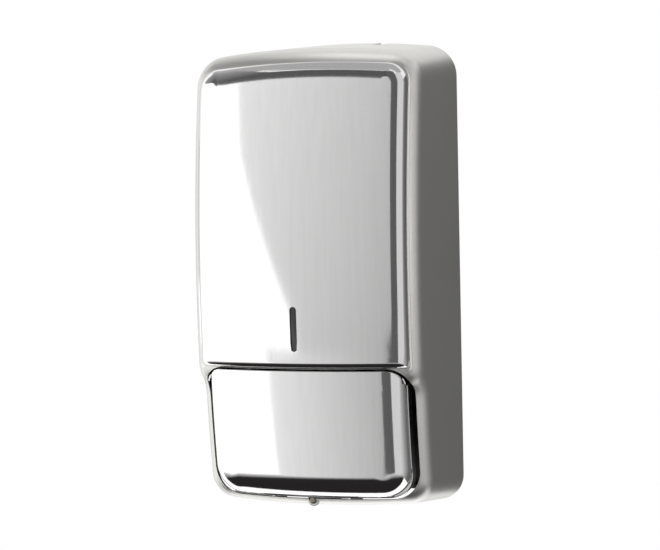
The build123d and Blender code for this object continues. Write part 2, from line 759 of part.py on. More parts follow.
def pivot_bracket(side):
    """One ear with its weld tab."""
    weld_top = PANEL_FOOT + PANEL_CROSSBAR - SHEET
    weld_foot = PANEL_FOOT + SHEET
    neck = PIVOT_DEPTH - EAR_R / 4
    ear = side_shape(
        [
            (DEPTH, weld_top),
            (neck, weld_top),
            (neck, weld_foot),
            (PIVOT_DEPTH - EAR_R, PIVOT_Z + EAR_R),
            (PIVOT_DEPTH - EAR_R, PIVOT_Z),
            (PIVOT_DEPTH + EAR_R, PIVOT_Z),
            (PIVOT_DEPTH + EAR_R, weld_foot),
            (DEPTH, weld_foot),
        ]
    )
    middle = side * (EAR_X + EAR_THICK / 2)
    plate = side_prism(ear, EAR_THICK / 2, middle)
    plate += drum_x(EAR_R, side * EAR_X, side * (EAR_X + EAR_THICK), PIVOT_DEPTH, PIVOT_Z)
    tab_x = side * (EAR_X + EAR_THICK - WELD_TAB / 2)
    patch = Pos(tab_x, (weld_top + weld_foot) / 2) * Rectangle(WELD_TAB, weld_top - weld_foot)
    tab = front_prism(patch, DEPTH / 2)
    rise = -SHEET - SEAT_GAP
    bracket = (plate & front_solid(rise)) + ((tab & front_solid(rise)) - front_solid(rise - EAR_THICK))
    return bracket - drum_x(PIVOT_R + PRESS_FIT, -WIDTH, WIDTH, PIVOT_DEPTH, PIVOT_Z)


def pivot_pin():
    """Pin on which the push plate swings."""
    pin = drum_x(PIVOT_R, -PIVOT_HALF, PIVOT_HALF, PIVOT_DEPTH, PIVOT_Z)
    pin = chamfer(pin.edges().filter_by(GeomType.CIRCLE), PIN_CHAMFER)
    for side in (-1, 1):
        groove = drum_x(PIVOT_R, side * CLIP_X, side * (CLIP_X + CLIP_THICK), PIVOT_DEPTH, PIVOT_Z)
        pin -= groove - drum_x(PIVOT_R - GROOVE, -WIDTH, WIDTH, PIVOT_DEPTH, PIVOT_Z)
    return pin


def ring_clip(outer, inner, thick):
    """Open retaining ring about the Z axis."""
    face = Circle(outer) - Circle(inner) - Pos(0, -outer) * Rectangle(2 * inner * CLIP_MOUTH, 2 * outer)
    return Pos(0, 0, -thick / 2) * extrude(face, amount=thick)


def pivot_clips():
    """Retaining rings at both ends of the pivot pin."""
    ring = Rot(0, 90, 0) * ring_clip(CLIP_R, PIVOT_R - GROOVE + PRESS_FIT, CLIP_THICK - 2 * PRESS_FIT)
    middle = CLIP_X + CLIP_THICK / 2
    return Compound(children=[Pos(at(side * middle, PIVOT_DEPTH, PIVOT_Z)) * ring for side in (-1, 1)])


def leaf_strip(rear):
    """Side view of the hinge leaf from a rear depth to its front."""
    under = LEAF_SEAT + LEAF_THICK
    upper_edge = [(depth, top_line(depth, LEAF_SEAT)) for depth in (rear, LEAF_FRONT)]
    lower_edge = [(depth, top_line(depth, under)) for depth in (LEAF_FRONT, rear)]
    return side_shape(upper_edge + lower_edge)


def hinge_leaf():
    """Plate under the cover's top with two knuckles round the hinge pin."""
    leaf = side_prism(leaf_strip(LEAF_REAR), LEAF_HALF)
    for side in (-1, 1):
        middle = side * (KNUCKLE_X + KNUCKLE_LENGTH / 2)
        leaf += side_prism(leaf_strip(HINGE_DEPTH), KNUCKLE_LENGTH / 2, middle)
        leaf += drum_x(KNUCKLE_R, side * KNUCKLE_X, side * LEAF_HALF, HINGE_DEPTH, HINGE_Z)
    return leaf - drum_x(HINGE_PIN_R + RUN_FIT, -WIDTH, WIDTH, HINGE_DEPTH, HINGE_Z)


def cover_hinge_pin():
    """Pin of the cover's hinge."""
    half = KNUCKLE_X + KNUCKLE_LENGTH + PIN_CHAMFER
    pin = drum_x(HINGE_PIN_R, -half, half, HINGE_DEPTH, HINGE_Z)
    return chamfer(pin.edges().filter_by(GeomType.CIRCLE), PIN_CHAMFER)


def back_plate():
    """Moulded plate on the wall with its rim, screw pads, hinge lugs and tank ledge."""
    outline = panel_outline(BASE_HALF, BASE_TOP, BASE_FOOT, BASE_CORNER, BASE_CORNER)
    wall = BASE_RIM_THICK
    inner_r = BASE_CORNER - wall
    inner = panel_outline(BASE_HALF - wall, BASE_TOP - wall, BASE_FOOT + wall, inner_r, inner_r)
    plate = front_prism(outline, 0, BASE_THICK) + front_prism(outline - inner, 0, BASE_RIM)
    for side in (-1, 1):
        plate += hinge_lug(side)
    plate += tank_ledge()
    holes = [(sx * SCREW_SPACING_X / 2, sz * SCREW_SPACING_Z / 2) for sx in (-1, 1) for sz in (-1, 1)]
    for x, z in holes:
        plate += drum_d(SCREW_PAD_R, 0, BASE_THICK + SCREW_PAD, x, z)
        plate -= drum_d(SCREW_HOLE_R, -BASE_THICK, DEPTH, x, z)
    for side in (-1, 1):
        plate -= drum_d(SCREW_R + PRESS_FIT, -BASE_THICK, DEPTH, side * BRACKET_SCREW_X, BRACKET_SCREW_Z)
    return plate


def hinge_lug(side):
    """Lug that holds the hinge pin."""
    middle = LUG_X + LUG_THICK / 2
    web = side_shape(
        [
            (0, HINGE_Z + HINGE_PIN_R),
            (HINGE_DEPTH, HINGE_Z + LUG_R),
            (HINGE_DEPTH, HINGE_Z - LUG_R),
            (0, HINGE_Z - HINGE_DEPTH - LUG_R),
        ]
    )
    lug = side_prism(web, LUG_THICK / 2, side * middle)
    lug += drum_x(LUG_R, side * LUG_X, side * (LUG_X + LUG_THICK), HINGE_DEPTH, HINGE_Z)
    return lug - drum_x(HINGE_PIN_R + PRESS_FIT, -WIDTH, WIDTH, HINGE_DEPTH, HINGE_Z)


def tank_ledge():
    """Ledge with an upturned lip that the tank hangs on."""
    front = LEDGE_LIP + LEDGE_THICK
    ledge = side_shape(
        [
            (0, LEDGE_Z),
            (front, LEDGE_Z),
            (front, HOOK_Z - SEAT_GAP),
            (LEDGE_LIP, HOOK_Z - SEAT_GAP),
            (LEDGE_LIP, LEDGE_Z + LEDGE_THICK),
            (0, LEDGE_Z + LEDGE_THICK),
        ]
    )
    return side_prism(ledge, HOOK_HALF)


def tank_form(inset):
    """Solid form of the tank, inset by a wall."""
    half = TANK_HALF - inset
    form = block(-half, half, TANK_REAR + inset, DEPTH, TANK_FLOOR + inset, TANK_TOP - inset)
    form = form & drum_z(TANK_FRONT - BOW_AXIS - inset, BOTTOM, TOP, 0, BOW_AXIS)
    form = fillet(form.edges().filter_by(Axis.Z), TANK_CORNER - inset)
    ends = form.faces().filter_by(Plane.XY)
    return fillet(ends.edges(), TANK_ROUND - inset)


def mouth_plan(grow=0.0):
    """Plan of the filler mouth, grown all round."""
    middle = MOUTH_REAR + MOUTH_LENGTH / 2
    shape = Pos(0, -middle) * Rectangle(2 * (MOUTH_HALF + grow), MOUTH_LENGTH + 2 * grow)
    return fillet(shape.vertices(), MOUTH_CORNER + grow)


def plan_prism(plan, z0, z1):
    """Upright prism of a plan."""
    return Pos(0, 0, z0) * extrude(plan, amount=z1 - z0)


def soap_tank():
    """Hanging tank with its filler mouth, lid ears, rear hook and outlet neck."""
    tank = tank_form(0) - tank_form(TANK_WALL)
    tank += plan_prism(mouth_plan(MOUTH_WALL), TANK_TOP - TANK_WALL, TANK_TOP + MOUTH_RIM)
    tank -= plan_prism(mouth_plan(), TANK_TOP - 2 * TANK_WALL, TANK_TOP + 2 * MOUTH_RIM)
    for side in (-1, 1):
        tank += lid_ear(side)
    hook_rear = BASE_THICK + HOOK_CLEAR
    hook = side_shape(
        [
            (TANK_REAR + TANK_WALL, HOOK_Z),
            (LEDGE_LIP - SIDE_GAP, HOOK_Z),
            (LEDGE_LIP - SIDE_GAP, LEDGE_Z + LEDGE_THICK + SIDE_GAP),
            (hook_rear, LEDGE_Z + LEDGE_THICK + SIDE_GAP),
            (hook_rear, HOOK_Z + LEDGE_THICK),
            (TANK_REAR + TANK_WALL, HOOK_Z + LEDGE_THICK),
        ]
    )
    tank += side_prism(hook, HOOK_HALF)
    tank += drum_z(NECK_R, NECK_FOOT, TANK_FLOOR + TANK_WALL, 0, PORT_DEPTH)
    return tank - drum_z(NECK_BORE_R, BOTTOM, TANK_FLOOR + 2 * TANK_WALL, 0, PORT_DEPTH)


def lid_ear(side):
    """Post on the tank that holds an end of the lid pin."""
    x0 = side * (LID_KNUCKLE_HALF + SIDE_GAP)
    x1 = x0 + side * LID_EAR
    ear = block(x0, x1, LID_PIN_DEPTH - LID_EAR, LID_PIN_DEPTH + LID_EAR, TANK_TOP - TANK_WALL, LID_PIN_Z)
    ear += drum_x(LID_EAR, x0, x1, LID_PIN_DEPTH, LID_PIN_Z)
    return ear - drum_x(LID_PIN_R + PRESS_FIT, -WIDTH, WIDTH, LID_PIN_DEPTH, LID_PIN_Z)


def tank_lid():
    """Hinged lid with a skirt round the mouth's rim and a finger tab."""
    skirt_in = mouth_plan(MOUTH_WALL + LID_GAP)
    skirt_out = mouth_plan(MOUTH_WALL + LID_GAP + LID_WALL)
    lid = plan_prism(skirt_out, LID_Z, LID_Z + LID_THICK)
    skirt = plan_prism(skirt_out - skirt_in, TANK_TOP + LID_GAP, LID_Z)
    lid += skirt - block(-WIDTH, WIDTH, 0, MOUTH_REAR, TANK_TOP, LID_Z)
    front = MOUTH_REAR + MOUTH_LENGTH + MOUTH_WALL + LID_GAP + LID_WALL
    tab_foot = LID_Z + LID_THICK / 4
    lid += block(-LID_TAB, LID_TAB, front - LID_WALL, front + LID_EAR, tab_foot, LID_Z + LID_THICK)
    half = LID_KNUCKLE_HALF
    lid += block(-half, half, LID_PIN_DEPTH, MOUTH_REAR, LID_Z, LID_Z + LID_THICK)
    lid += drum_x(LID_KNUCKLE_R, -half, half, LID_PIN_DEPTH, LID_PIN_Z)
    return lid - drum_x(LID_PIN_R + RUN_FIT, -WIDTH, WIDTH, LID_PIN_DEPTH, LID_PIN_Z)


def lid_seal():
    """Flat gasket under the lid."""
    foot = TANK_TOP + MOUTH_RIM + SEAT_GAP
    return plan_prism(mouth_plan(MOUTH_WALL) - mouth_plan(), foot, foot + SEAL_THICK)


def lid_pin():
    """Pin of the lid's hinge."""
    half = LID_KNUCKLE_HALF + SIDE_GAP + LID_EAR
    return drum_x(LID_PIN_R, -half, half, LID_PIN_DEPTH, LID_PIN_Z)


def turned(points, x=0.0, depth=None):
    """Piece turned about an upright axis, from its half profile in radius and height."""
    profile = make_face(Polyline([(r, 0, z) for r, z in points], close=True))
    return Pos(at(x, PORT_DEPTH if depth is None else depth, 0)) * revolve(profile, Axis.Z)


def bored(points):
    """Piece turned about the pump's own axis, from its half profile in depth and radius."""
    profile = make_face(Polyline([(0, -depth, r) for depth, r in points], close=True))
    return Pos(0, 0, PUMP_Z) * revolve(profile, Axis.Y)


def tank_seal():
    """Flat ring between the tank's neck and the pump's riser."""
    ring = drum_z(NECK_R, RISER_TOP + SEAT_GAP, NECK_FOOT - SEAT_GAP, 0, PORT_DEPTH)
    return ring - drum_z(NECK_BORE_R, BOTTOM, TOP, 0, PORT_DEPTH)


def tank_nut():
    """Union nut with grip flutes that pulls the riser's flange up to the neck."""
    outer = NECK_R + NUT_CLEAR + TANK_NUT_WALL
    foot = RISER_TOP - FLANGE_THICK - SEAT_GAP - TANK_NUT_WALL
    nut_body = drum_z(outer, foot, foot + TANK_NUT_LENGTH, 0, PORT_DEPTH)
    nut_body = chamfer(nut_body.edges().filter_by(GeomType.CIRCLE), TANK_NUT_WALL / 4)
    for step in range(NUT_FLUTES):
        turn = 2 * pi * step / NUT_FLUTES
        nut_body -= drum_z(FLUTE_R, BOTTOM, TOP, outer * sin(turn), PORT_DEPTH + outer * cos(turn))
    nut_body -= drum_z(NECK_R + NUT_CLEAR, foot + TANK_NUT_WALL, TOP, 0, PORT_DEPTH)
    return nut_body - drum_z(RISER_R + NUT_CLEAR, BOTTOM, TOP, 0, PORT_DEPTH)


def pump_body():
    """Pump cylinder with its riser, valve web, foot and outlet boss."""
    body = drum_d(CYLINDER_R, CYLINDER_REAR, CYLINDER_FRONT, 0, PUMP_Z)
    foot_rear = CYLINDER_REAR + FLANGE_THICK
    foot_front = CYLINDER_FRONT - FLANGE_THICK
    body += block(-FOOT_HALF, FOOT_HALF, foot_rear, foot_front, SHELF_Z, PUMP_Z - FOOT_DROP)
    body += drum_z(RISER_R, PUMP_Z, RISER_TOP, 0, PORT_DEPTH)
    body += drum_z(NECK_R, RISER_TOP - FLANGE_THICK, RISER_TOP, 0, PORT_DEPTH)
    body += drum_z(OUTLET_R, OUTLET_FOOT, PUMP_Z, 0, PORT_DEPTH)
    body -= drum_d(BORE_R, 0, DEPTH, 0, PUMP_Z)
    body -= drum_z(RISER_BORE_R, WEB_Z + WEB_THICK, TOP, 0, PORT_DEPTH)
    body -= drum_z(RISER_BORE_R, PUMP_Z, WEB_Z, 0, PORT_DEPTH)
    body -= drum_z(VALVE_STEM_R + RUN_FIT, PUMP_Z, TOP, 0, PORT_DEPTH)
    for step in range(VALVE_PORTS):
        turn = 2 * pi * step / VALVE_PORTS
        x = VALVE_PORT_RING * sin(turn)
        body -= drum_z(VALVE_PORT_R, PUMP_Z, TOP, x, PORT_DEPTH + VALVE_PORT_RING * cos(turn))
    body -= drum_z(OUTLET_BORE_R, BOTTOM, PUMP_Z, 0, PORT_DEPTH)
    for side in (-1, 1):
        body -= drum_z(SCREW_R + PRESS_FIT, BOTTOM, PUMP_SCREW_TOP, side * PUMP_SCREW_X, PUMP_SCREW_DEPTH)
    return body


def pump_end_cap():
    """Plug at the rear of the cylinder, which the spring stands on."""
    return bored(
        [
            (CYLINDER_REAR - FLANGE_THICK, 0),
            (CYLINDER_REAR - FLANGE_THICK, CYLINDER_R),
            (CYLINDER_REAR - SEAT_GAP, CYLINDER_R),
            (CYLINDER_REAR - SEAT_GAP, BORE_R - RUN_FIT),
            (CAP_FRONT, BORE_R - RUN_FIT),
            (CAP_FRONT, 0),
        ]
    )


def pump_gland():
    """Guide of the plunger's rod at the front of the cylinder."""
    front = CYLINDER_FRONT + GLAND_FLANGE
    return bored(
        [
            (CYLINDER_FRONT - GLAND_PLUG, ROD_R + RUN_FIT),
            (CYLINDER_FRONT - GLAND_PLUG, BORE_R - RUN_FIT),
            (CYLINDER_FRONT + SEAT_GAP, BORE_R - RUN_FIT),
            (CYLINDER_FRONT + SEAT_GAP, CYLINDER_R),
            (front, CYLINDER_R),
            (front, ROD_R + GLAND_SEAL),
            (front - SEAL_THICK, ROD_R + GLAND_SEAL),
            (front - SEAL_THICK, ROD_R + RUN_FIT),
        ]
    )


def gland_seal():
    """Wiper ring in the gland's front."""
    front = CYLINDER_FRONT + GLAND_FLANGE
    rear = front - SEAL_THICK + SEAT_GAP
    ring = drum_d(ROD_R + GLAND_SEAL - PRESS_FIT, rear, front, 0, PUMP_Z)
    return ring - drum_d(ROD_R + RUN_FIT, 0, DEPTH, 0, PUMP_Z)


def plunger():
    """Piston, rod and push head in one piece, with a groove for its seal."""
    front = PISTON_REST + PISTON_LENGTH
    groove = PISTON_REST + PISTON_LENGTH / 2
    rim = HEAD_THICK / 4
    return bored(
        [
            (PISTON_REST, 0),
            (PISTON_REST, PISTON_R),
            (groove - SEAL_THICK / 2, PISTON_R),
            (groove - SEAL_THICK / 2, PISTON_R - SEAL_THICK),
            (groove + SEAL_THICK / 2, PISTON_R - SEAL_THICK),
            (groove + SEAL_THICK / 2, PISTON_R),
            (front, PISTON_R),
            (front, ROD_R),
            (HEAD_DEPTH - HEAD_THICK, ROD_R),
            (HEAD_DEPTH - HEAD_THICK, HEAD_R - rim),
            (HEAD_DEPTH - HEAD_THICK + rim, HEAD_R),
            (HEAD_DEPTH - rim, HEAD_R),
            (HEAD_DEPTH, HEAD_R - rim),
            (HEAD_DEPTH, 0),
        ]
    )


def plunger_seal():
    """Ring in the piston's groove."""
    groove = PISTON_REST + PISTON_LENGTH / 2
    half = SEAL_THICK / 2 - PRESS_FIT
    ring = drum_d(BORE_R - RUN_FIT / 2, groove - half, groove + half, 0, PUMP_Z)
    return ring - drum_d(PISTON_R - SEAL_THICK + PRESS_FIT, 0, DEPTH, 0, PUMP_Z)


def spring_point(turn):
    """Point on the plunger spring's middle line after a number of turns."""
    start = CAP_FRONT + WIRE_R + SEAT_GAP
    end = PISTON_REST - WIRE_R - SEAT_GAP
    angle = 2 * pi * turn
    depth = start + (end - start) * turn / SPRING_TURNS
    return at(SPRING_R * cos(angle), depth, PUMP_Z + SPRING_R * sin(angle))


def spring_tangent(turn):
    """Direction of the plunger spring's middle line after a number of turns."""
    length = PISTON_REST - CAP_FRONT - 2 * WIRE_R - 2 * SEAT_GAP
    angle = 2 * pi * turn
    around = 2 * pi * SPRING_R
    return at(-around * sin(angle), length / SPRING_TURNS, around * cos(angle)).normalized()


def biarc(start, start_way, end, end_way):
    """Two tangent arcs between two points with given directions."""
    span = end - start
    ways = start_way + end_way
    a = 2 * (1 - start_way.dot(end_way))
    b = 2 * span.dot(ways)
    c = -span.dot(span)
    reach = (-b + sqrt(b * b - 4 * a * c)) / (2 * a)
    joint = (start + start_way * reach + end - end_way * reach) * 0.5
    first = Edge.make_tangent_arc(start, start_way, joint)
    return [first, Edge.make_tangent_arc(joint, first % 1, end)]


def spring_gap():
    """Least gap between points of the plunger spring that lie most of a turn apart."""
    turns = [step / SPRING_POINTS for step in range(SPRING_TURNS * SPRING_POINTS + 1)]
    points = [(turn, spring_point(turn)) for turn in turns]
    gaps = [(b - a).length for s, a in points for t, b in points if t - s > 0.7]
    return min(gaps) - 2 * WIRE_R


def plunger_spring():
    """Return spring of the plunger, one swept wire."""
    edges = []
    for step in range(2 * SPRING_TURNS):
        a, b = step / 2, (step + 1) / 2
        edges += biarc(spring_point(a), spring_tangent(a), spring_point(b), spring_tangent(b))
    path = Wire(edges)
    section = Plane(origin=path @ 0, z_dir=path % 0) * RegularPolygon(WIRE_R, WIRE_SIDES)
    print("least gap between the plunger spring's turns", round(spring_gap(), 2))
    return sweep(section, path=path)


def inlet_valve():
    """Umbrella valve under the riser's web."""
    top = WEB_Z + WEB_THICK
    return turned(
        [
            (0, WEB_Z - VALVE_CUP),
            (VALVE_STEM_R, WEB_Z - VALVE_CUP),
            (VALVE_R, WEB_Z - VALVE_CUP / 2),
            (VALVE_R, WEB_Z - SEAT_GAP),
            (VALVE_STEM_R, WEB_Z - SEAT_GAP),
            (VALVE_STEM_R, top + SEAT_GAP),
            (VALVE_STEM_R + VALVE_CUP / 2, top + SEAT_GAP),
            (VALVE_STEM_R, top + VALVE_CUP),
            (0, top + VALVE_CUP),
        ]
    )


def outlet_valve():
    """Duckbill valve clamped between the outlet boss and the nozzle."""
    top = OUTLET_FOOT - SEAT_GAP
    valve = turned(
        [
            (BILL_R - BILL_WALL, top),
            (OUTLET_R, top),
            (OUTLET_R, top - SEAL_THICK),
            (BILL_R, top - SEAL_THICK),
            (BILL_R / 2, top - BILL_LENGTH),
            (0, top - BILL_LENGTH),
            (0, top - BILL_LENGTH + BILL_WALL),
        ]
    )
    slit = block(-BILL_R / 3, BILL_R / 3, PORT_DEPTH - SLIT / 2, PORT_DEPTH + SLIT / 2, BOTTOM, top)
    return valve - slit


def nozzle():
    """Tapered nozzle pushed over the outlet boss."""
    inner = OUTLET_R + PRESS_FIT
    shoulder = OUTLET_FOOT - SEAL_THICK - 2 * SEAT_GAP
    return turned(
        [
            (inner, NOZZLE_TOP),
            (inner + NOZZLE_WALL, NOZZLE_TOP),
            (inner + NOZZLE_WALL, shoulder),
            (NOZZLE_TIP_R, NOZZLE_TIP),
            (NOZZLE_TIP_R - NOZZLE_LIP, NOZZLE_TIP),
            (BILL_R + BILL_WALL, shoulder),
            (inner, shoulder),
        ]
    )


def pump_bracket():
    """Angle bracket on the back plate whose shelf carries the pump."""
    rear = BASE_THICK + SEAT_GAP
    face = rear + BRACKET_THICK
    shelf_foot = SHELF_Z - SHELF_THICK - SEAT_GAP
    outline = panel_outline(BRACKET_HALF, shelf_foot + BRACKET_TALL, shelf_foot, SCREW_HEAD_R, SCREW_HEAD_R)
    bracket = front_prism(outline, rear, face)
    plan = Pos(0, -(rear + SHELF_FRONT) / 2) * Rectangle(2 * SHELF_HALF, SHELF_FRONT - rear)
    plan = fillet(plan.vertices().sort_by(Axis.Y)[:2], SCREW_HEAD_R)
    bracket += plan_prism(plan, shelf_foot, SHELF_Z - SEAT_GAP)
    toe = SHELF_FRONT - SHELF_HALF
    gusset = side_shape([(rear, shelf_foot), (toe, shelf_foot), (rear, shelf_foot + BRACKET_TALL)])
    for side in (-1, 1):
        bracket += side_prism(gusset, GUSSET / 2, side * (SHELF_HALF - GUSSET / 2))
        bracket -= drum_d(SCREW_R + PRESS_FIT, 0, DEPTH, side * BRACKET_SCREW_X, BRACKET_SCREW_Z)
        bracket -= drum_z(SCREW_R + PRESS_FIT, BOTTOM, PUMP_Z, side * PUMP_SCREW_X, PUMP_SCREW_DEPTH)
    return bracket - drum_z(OUTLET_R + NUT_CLEAR, BOTTOM, PUMP_Z, 0, PORT_DEPTH)


def screw(length):
    """Pan head screw along Z with its head above the origin and a cross recess."""
    head = Pos(0, 0, SCREW_HEAD / 2) * Cylinder(SCREW_HEAD_R, SCREW_HEAD)
    head = fillet(head.edges().filter_by(GeomType.CIRCLE).sort_by(Axis.Z)[-1], SCREW_HEAD / 2)
    cross = Box(2 * SCREW_R, SLIT, SCREW_HEAD) + Box(SLIT, 2 * SCREW_R, SCREW_HEAD)
    head -= Pos(0, 0, SCREW_HEAD) * cross
    return head + Pos(0, 0, -length / 2) * Cylinder(SCREW_R, length)


def bracket_screws():
    """Screws that hold the pump's bracket on the back plate."""
    seat = BASE_THICK + BRACKET_THICK + 2 * SEAT_GAP
    one = Rot(90, 0, 0) * screw(seat - SEAT_GAP)
    places = [at(side * BRACKET_SCREW_X, seat, BRACKET_SCREW_Z) for side in (-1, 1)]
    return Compound(children=[Pos(place) * one for place in places])


def pump_screws():
    """Screws that hold the pump and the latch spring on the shelf."""
    seat = LATCH_Z - LATCH_THICK - SEAT_GAP
    one = Rot(180, 0, 0) * screw(PUMP_SCREW_TOP - seat - SEAT_GAP)
    places = [at(side * PUMP_SCREW_X, PUMP_SCREW_DEPTH, seat) for side in (-1, 1)]
    return Compound(children=[Pos(place) * one for place in places])


def latch_spring():
    """Bent leaf under the shelf whose hooked end holds the cover's strike."""
    under = LATCH_Z - LATCH_THICK / 2
    line = FilletPolyline(
        (-LATCH_REAR, under),
        (-LATCH_KNEE, under),
        (-LATCH_NOSE, under - LATCH_DROP),
        (-LATCH_TIP, LATCH_FOOT),
        radius=2 * LATCH_THICK,
    )
    tongue = side_prism(trace(line, LATCH_THICK), LATCH_HALF)
    plan = RectangleRounded(2 * SHELF_HALF, SHELF_FRONT - LATCH_REAR, SCREW_R)
    plan = Pos(0, -(LATCH_REAR + SHELF_FRONT) / 2) * plan
    base = plan_prism(plan, LATCH_Z - LATCH_THICK, LATCH_Z)
    spring = tongue + base
    for side in (-1, 1):
        spring -= drum_z(SCREW_R + PRESS_FIT, BOTTOM, TOP, side * PUMP_SCREW_X, PUMP_SCREW_DEPTH)
    return spring


def release_bracket():
    """Sheet bracket on the cover's bottom with two strike tabs and the pin's guide."""
    room = body_form(SHEET + SEAT_GAP, 0)
    plan = Pos(0, -(CATCH_REAR + GUIDE_FRONT) / 2) * Rectangle(2 * CATCH_HALF, GUIDE_FRONT - CATCH_REAR)
    base = plan_prism(plan, BOTTOM, PIN_Z)
    base = (base & room) - body_form(SHEET + SEAT_GAP + CATCH_THICK, 0)
    base -= block(-CLIP_ROOM, CLIP_ROOM, STRIKE_FRONT + SHEET, GUIDE_REAR, BOTTOM, TOP)
    tabs = block(-CATCH_HALF, CATCH_HALF, STRIKE_FRONT - STRIKE_THICK, STRIKE_FRONT, BOTTOM, STRIKE_TOP)
    tabs -= block(-STRIKE_GAP, STRIKE_GAP, 0, DEPTH, PIN_Z - 2 * PIN_R, TOP)
    guide = block(-GUIDE_HALF, GUIDE_HALF, GUIDE_REAR, GUIDE_FRONT, BOTTOM, PIN_Z)
    guide += drum_d(GUIDE_HALF, GUIDE_REAR, GUIDE_FRONT, 0, PIN_Z)
    bracket = base + ((tabs + guide) & room)
    return bracket - drum_d(PIN_R + RUN_FIT, 0, DEPTH, 0, PIN_Z)


def release_pin():
    """Push pin in the lip that lifts the latch spring."""
    head = drum_d(PIN_HEAD_R, PIN_HEAD_REAR, PIN_FRONT, 0, PIN_Z)
    head = fillet(head.edges().sort_by(Axis.Y)[0], PIN_HEAD_R / 2)
    pin = head + drum_d(PIN_R, PIN_TIP, PIN_FRONT - PIN_HEAD_R, 0, PIN_Z)
    groove = drum_d(PIN_R, PIN_CLIP, PIN_CLIP + CLIP_THICK, 0, PIN_Z)
    return pin - (groove - drum_d(PIN_R - GROOVE, 0, DEPTH, 0, PIN_Z))


def release_clip():
    """Retaining ring on the release pin."""
    ring = Rot(90, 0, 0) * ring_clip(PIN_CLIP_R, PIN_R - GROOVE + PRESS_FIT, CLIP_THICK - 2 * PRESS_FIT)
    return Pos(at(0, PIN_CLIP + CLIP_THICK / 2, PIN_Z)) * ring


PIECES = (
    back_plate,
    body_shell,
    front_panel,
    panel_nuts,
    level_window,
    push_plate,
    push_carrier,
    carrier_nuts,
    pivot_brackets,
    pivot_pin,
    pivot_clips,
    hinge_leaf,
    cover_hinge_pin,
    soap_tank,
    tank_lid,
    lid_seal,
    lid_pin,
    tank_seal,
    tank_nut,
    pump_body,
    pump_end_cap,
    pump_gland,
    gland_seal,
    plunger,
    plunger_seal,
    plunger_spring,
    inlet_valve,
    outlet_valve,
    nozzle,
    pump_bracket,
    bracket_screws,
    pump_screws,
    latch_spring,
    release_bracket,
    release_pin,
    release_clip,
)

os.makedirs("parts", exist_ok=True)
for maker in PIECES:
    export_step(maker(), "parts/" + maker.__name__ + ".step")
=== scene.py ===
"""Looks of a wall mounted soap dispenser: its finishes, pressed sheets, studio and camera."""

import json
import logging
import math
from dataclasses import dataclass, field, replace
from enum import Enum
from typing import Any

import bpy
from mathutils import Matrix, Vector


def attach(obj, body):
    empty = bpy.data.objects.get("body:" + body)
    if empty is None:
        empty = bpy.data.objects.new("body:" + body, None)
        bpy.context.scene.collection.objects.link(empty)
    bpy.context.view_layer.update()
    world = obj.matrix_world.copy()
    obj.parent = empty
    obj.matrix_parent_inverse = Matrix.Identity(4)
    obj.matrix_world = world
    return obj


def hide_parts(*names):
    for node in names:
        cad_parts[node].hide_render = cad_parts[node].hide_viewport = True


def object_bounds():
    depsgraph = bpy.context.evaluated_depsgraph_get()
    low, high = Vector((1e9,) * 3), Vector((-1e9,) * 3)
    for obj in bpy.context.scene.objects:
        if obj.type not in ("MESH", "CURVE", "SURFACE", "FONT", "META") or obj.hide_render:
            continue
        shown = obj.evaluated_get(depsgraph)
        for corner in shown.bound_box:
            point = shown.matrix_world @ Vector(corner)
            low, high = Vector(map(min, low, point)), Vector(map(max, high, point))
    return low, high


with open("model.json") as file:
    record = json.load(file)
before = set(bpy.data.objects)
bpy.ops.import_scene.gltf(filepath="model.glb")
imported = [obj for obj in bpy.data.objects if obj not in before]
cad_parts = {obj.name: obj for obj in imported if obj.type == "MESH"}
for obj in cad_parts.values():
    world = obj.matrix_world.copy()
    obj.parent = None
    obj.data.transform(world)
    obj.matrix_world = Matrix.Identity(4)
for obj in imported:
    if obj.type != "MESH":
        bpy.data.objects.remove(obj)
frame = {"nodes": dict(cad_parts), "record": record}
CAD_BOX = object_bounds()
MM = 0.001
IMAGE_WIDTH = 660
SENSOR_MM = 36.0
# Span of a noise texture's values that holds nearly all of them.
NOISE_LOW, NOISE_HIGH = 0.3, 0.7
# Least roughness of a finish.
SMOOTHEST = 0.02
# Colour sockets of a Mix node, whose names repeat for each kind of data.
MIX_FIRST, MIX_SECOND, MIX_RESULT = 6, 7, 2
# Sizes of the mesh work, in millimetres apart from the angle and the counts.
SLOPE_STEP = 0.05
LEAST_CORNER = 2.5
MERGE_MM = 0.002
TINY = 1e-6
SHARP_DEGREES = 30
ROUND_SIDES = 24
STUD_RADIUS = 1.5
STUD_SINK = 0.5
# Foot of an outline that runs on downwards without an edge, and the radius of its corners.
OPEN_FOOT, OPEN_CORNER = -400.0, 1.0
# Place across and up in front view, in millimetres.
Place = tuple[float, float]
log = logging.getLogger("dispenser")


def linear(colour: str) -> tuple[float, float, float, float]:
    """Turn an sRGB hex colour into linear values.

    Args:
        colour: Six hex digits, such as "c8c8c6".

    Returns:
        Red, green and blue in linear light, and an alpha of 1.
    """
    parts = [int(colour[i : i + 2], 16) / 255 for i in (0, 2, 4)]
    red, green, blue = (p / 12.92 if p <= 0.04045 else ((p + 0.055) / 1.055) ** 2.4 for p in parts)
    return (red, green, blue, 1.0)


def add_node(
    tree: bpy.types.NodeTree, kind: str, links: dict[str, Any] | None = None, **settings: Any
) -> Any:
    """Add a node with its settings and links.

    Args:
        tree: Node tree that gets the node.
        kind: Blender's name of the node type.
        links: Output sockets to link, by the name of the new node's input.
        settings: Values of the node's own properties, or else of its inputs.

    Returns:
        The new node.
    """
    node = tree.nodes.new(kind)
    for name, value in settings.items():
        if hasattr(node, name):
            setattr(node, name, value)
        else:
            node.inputs[name.replace("_", " ").title()].default_value = value
    for name, socket in (links or {}).items():
        tree.links.new(socket, node.inputs[name])
    return node


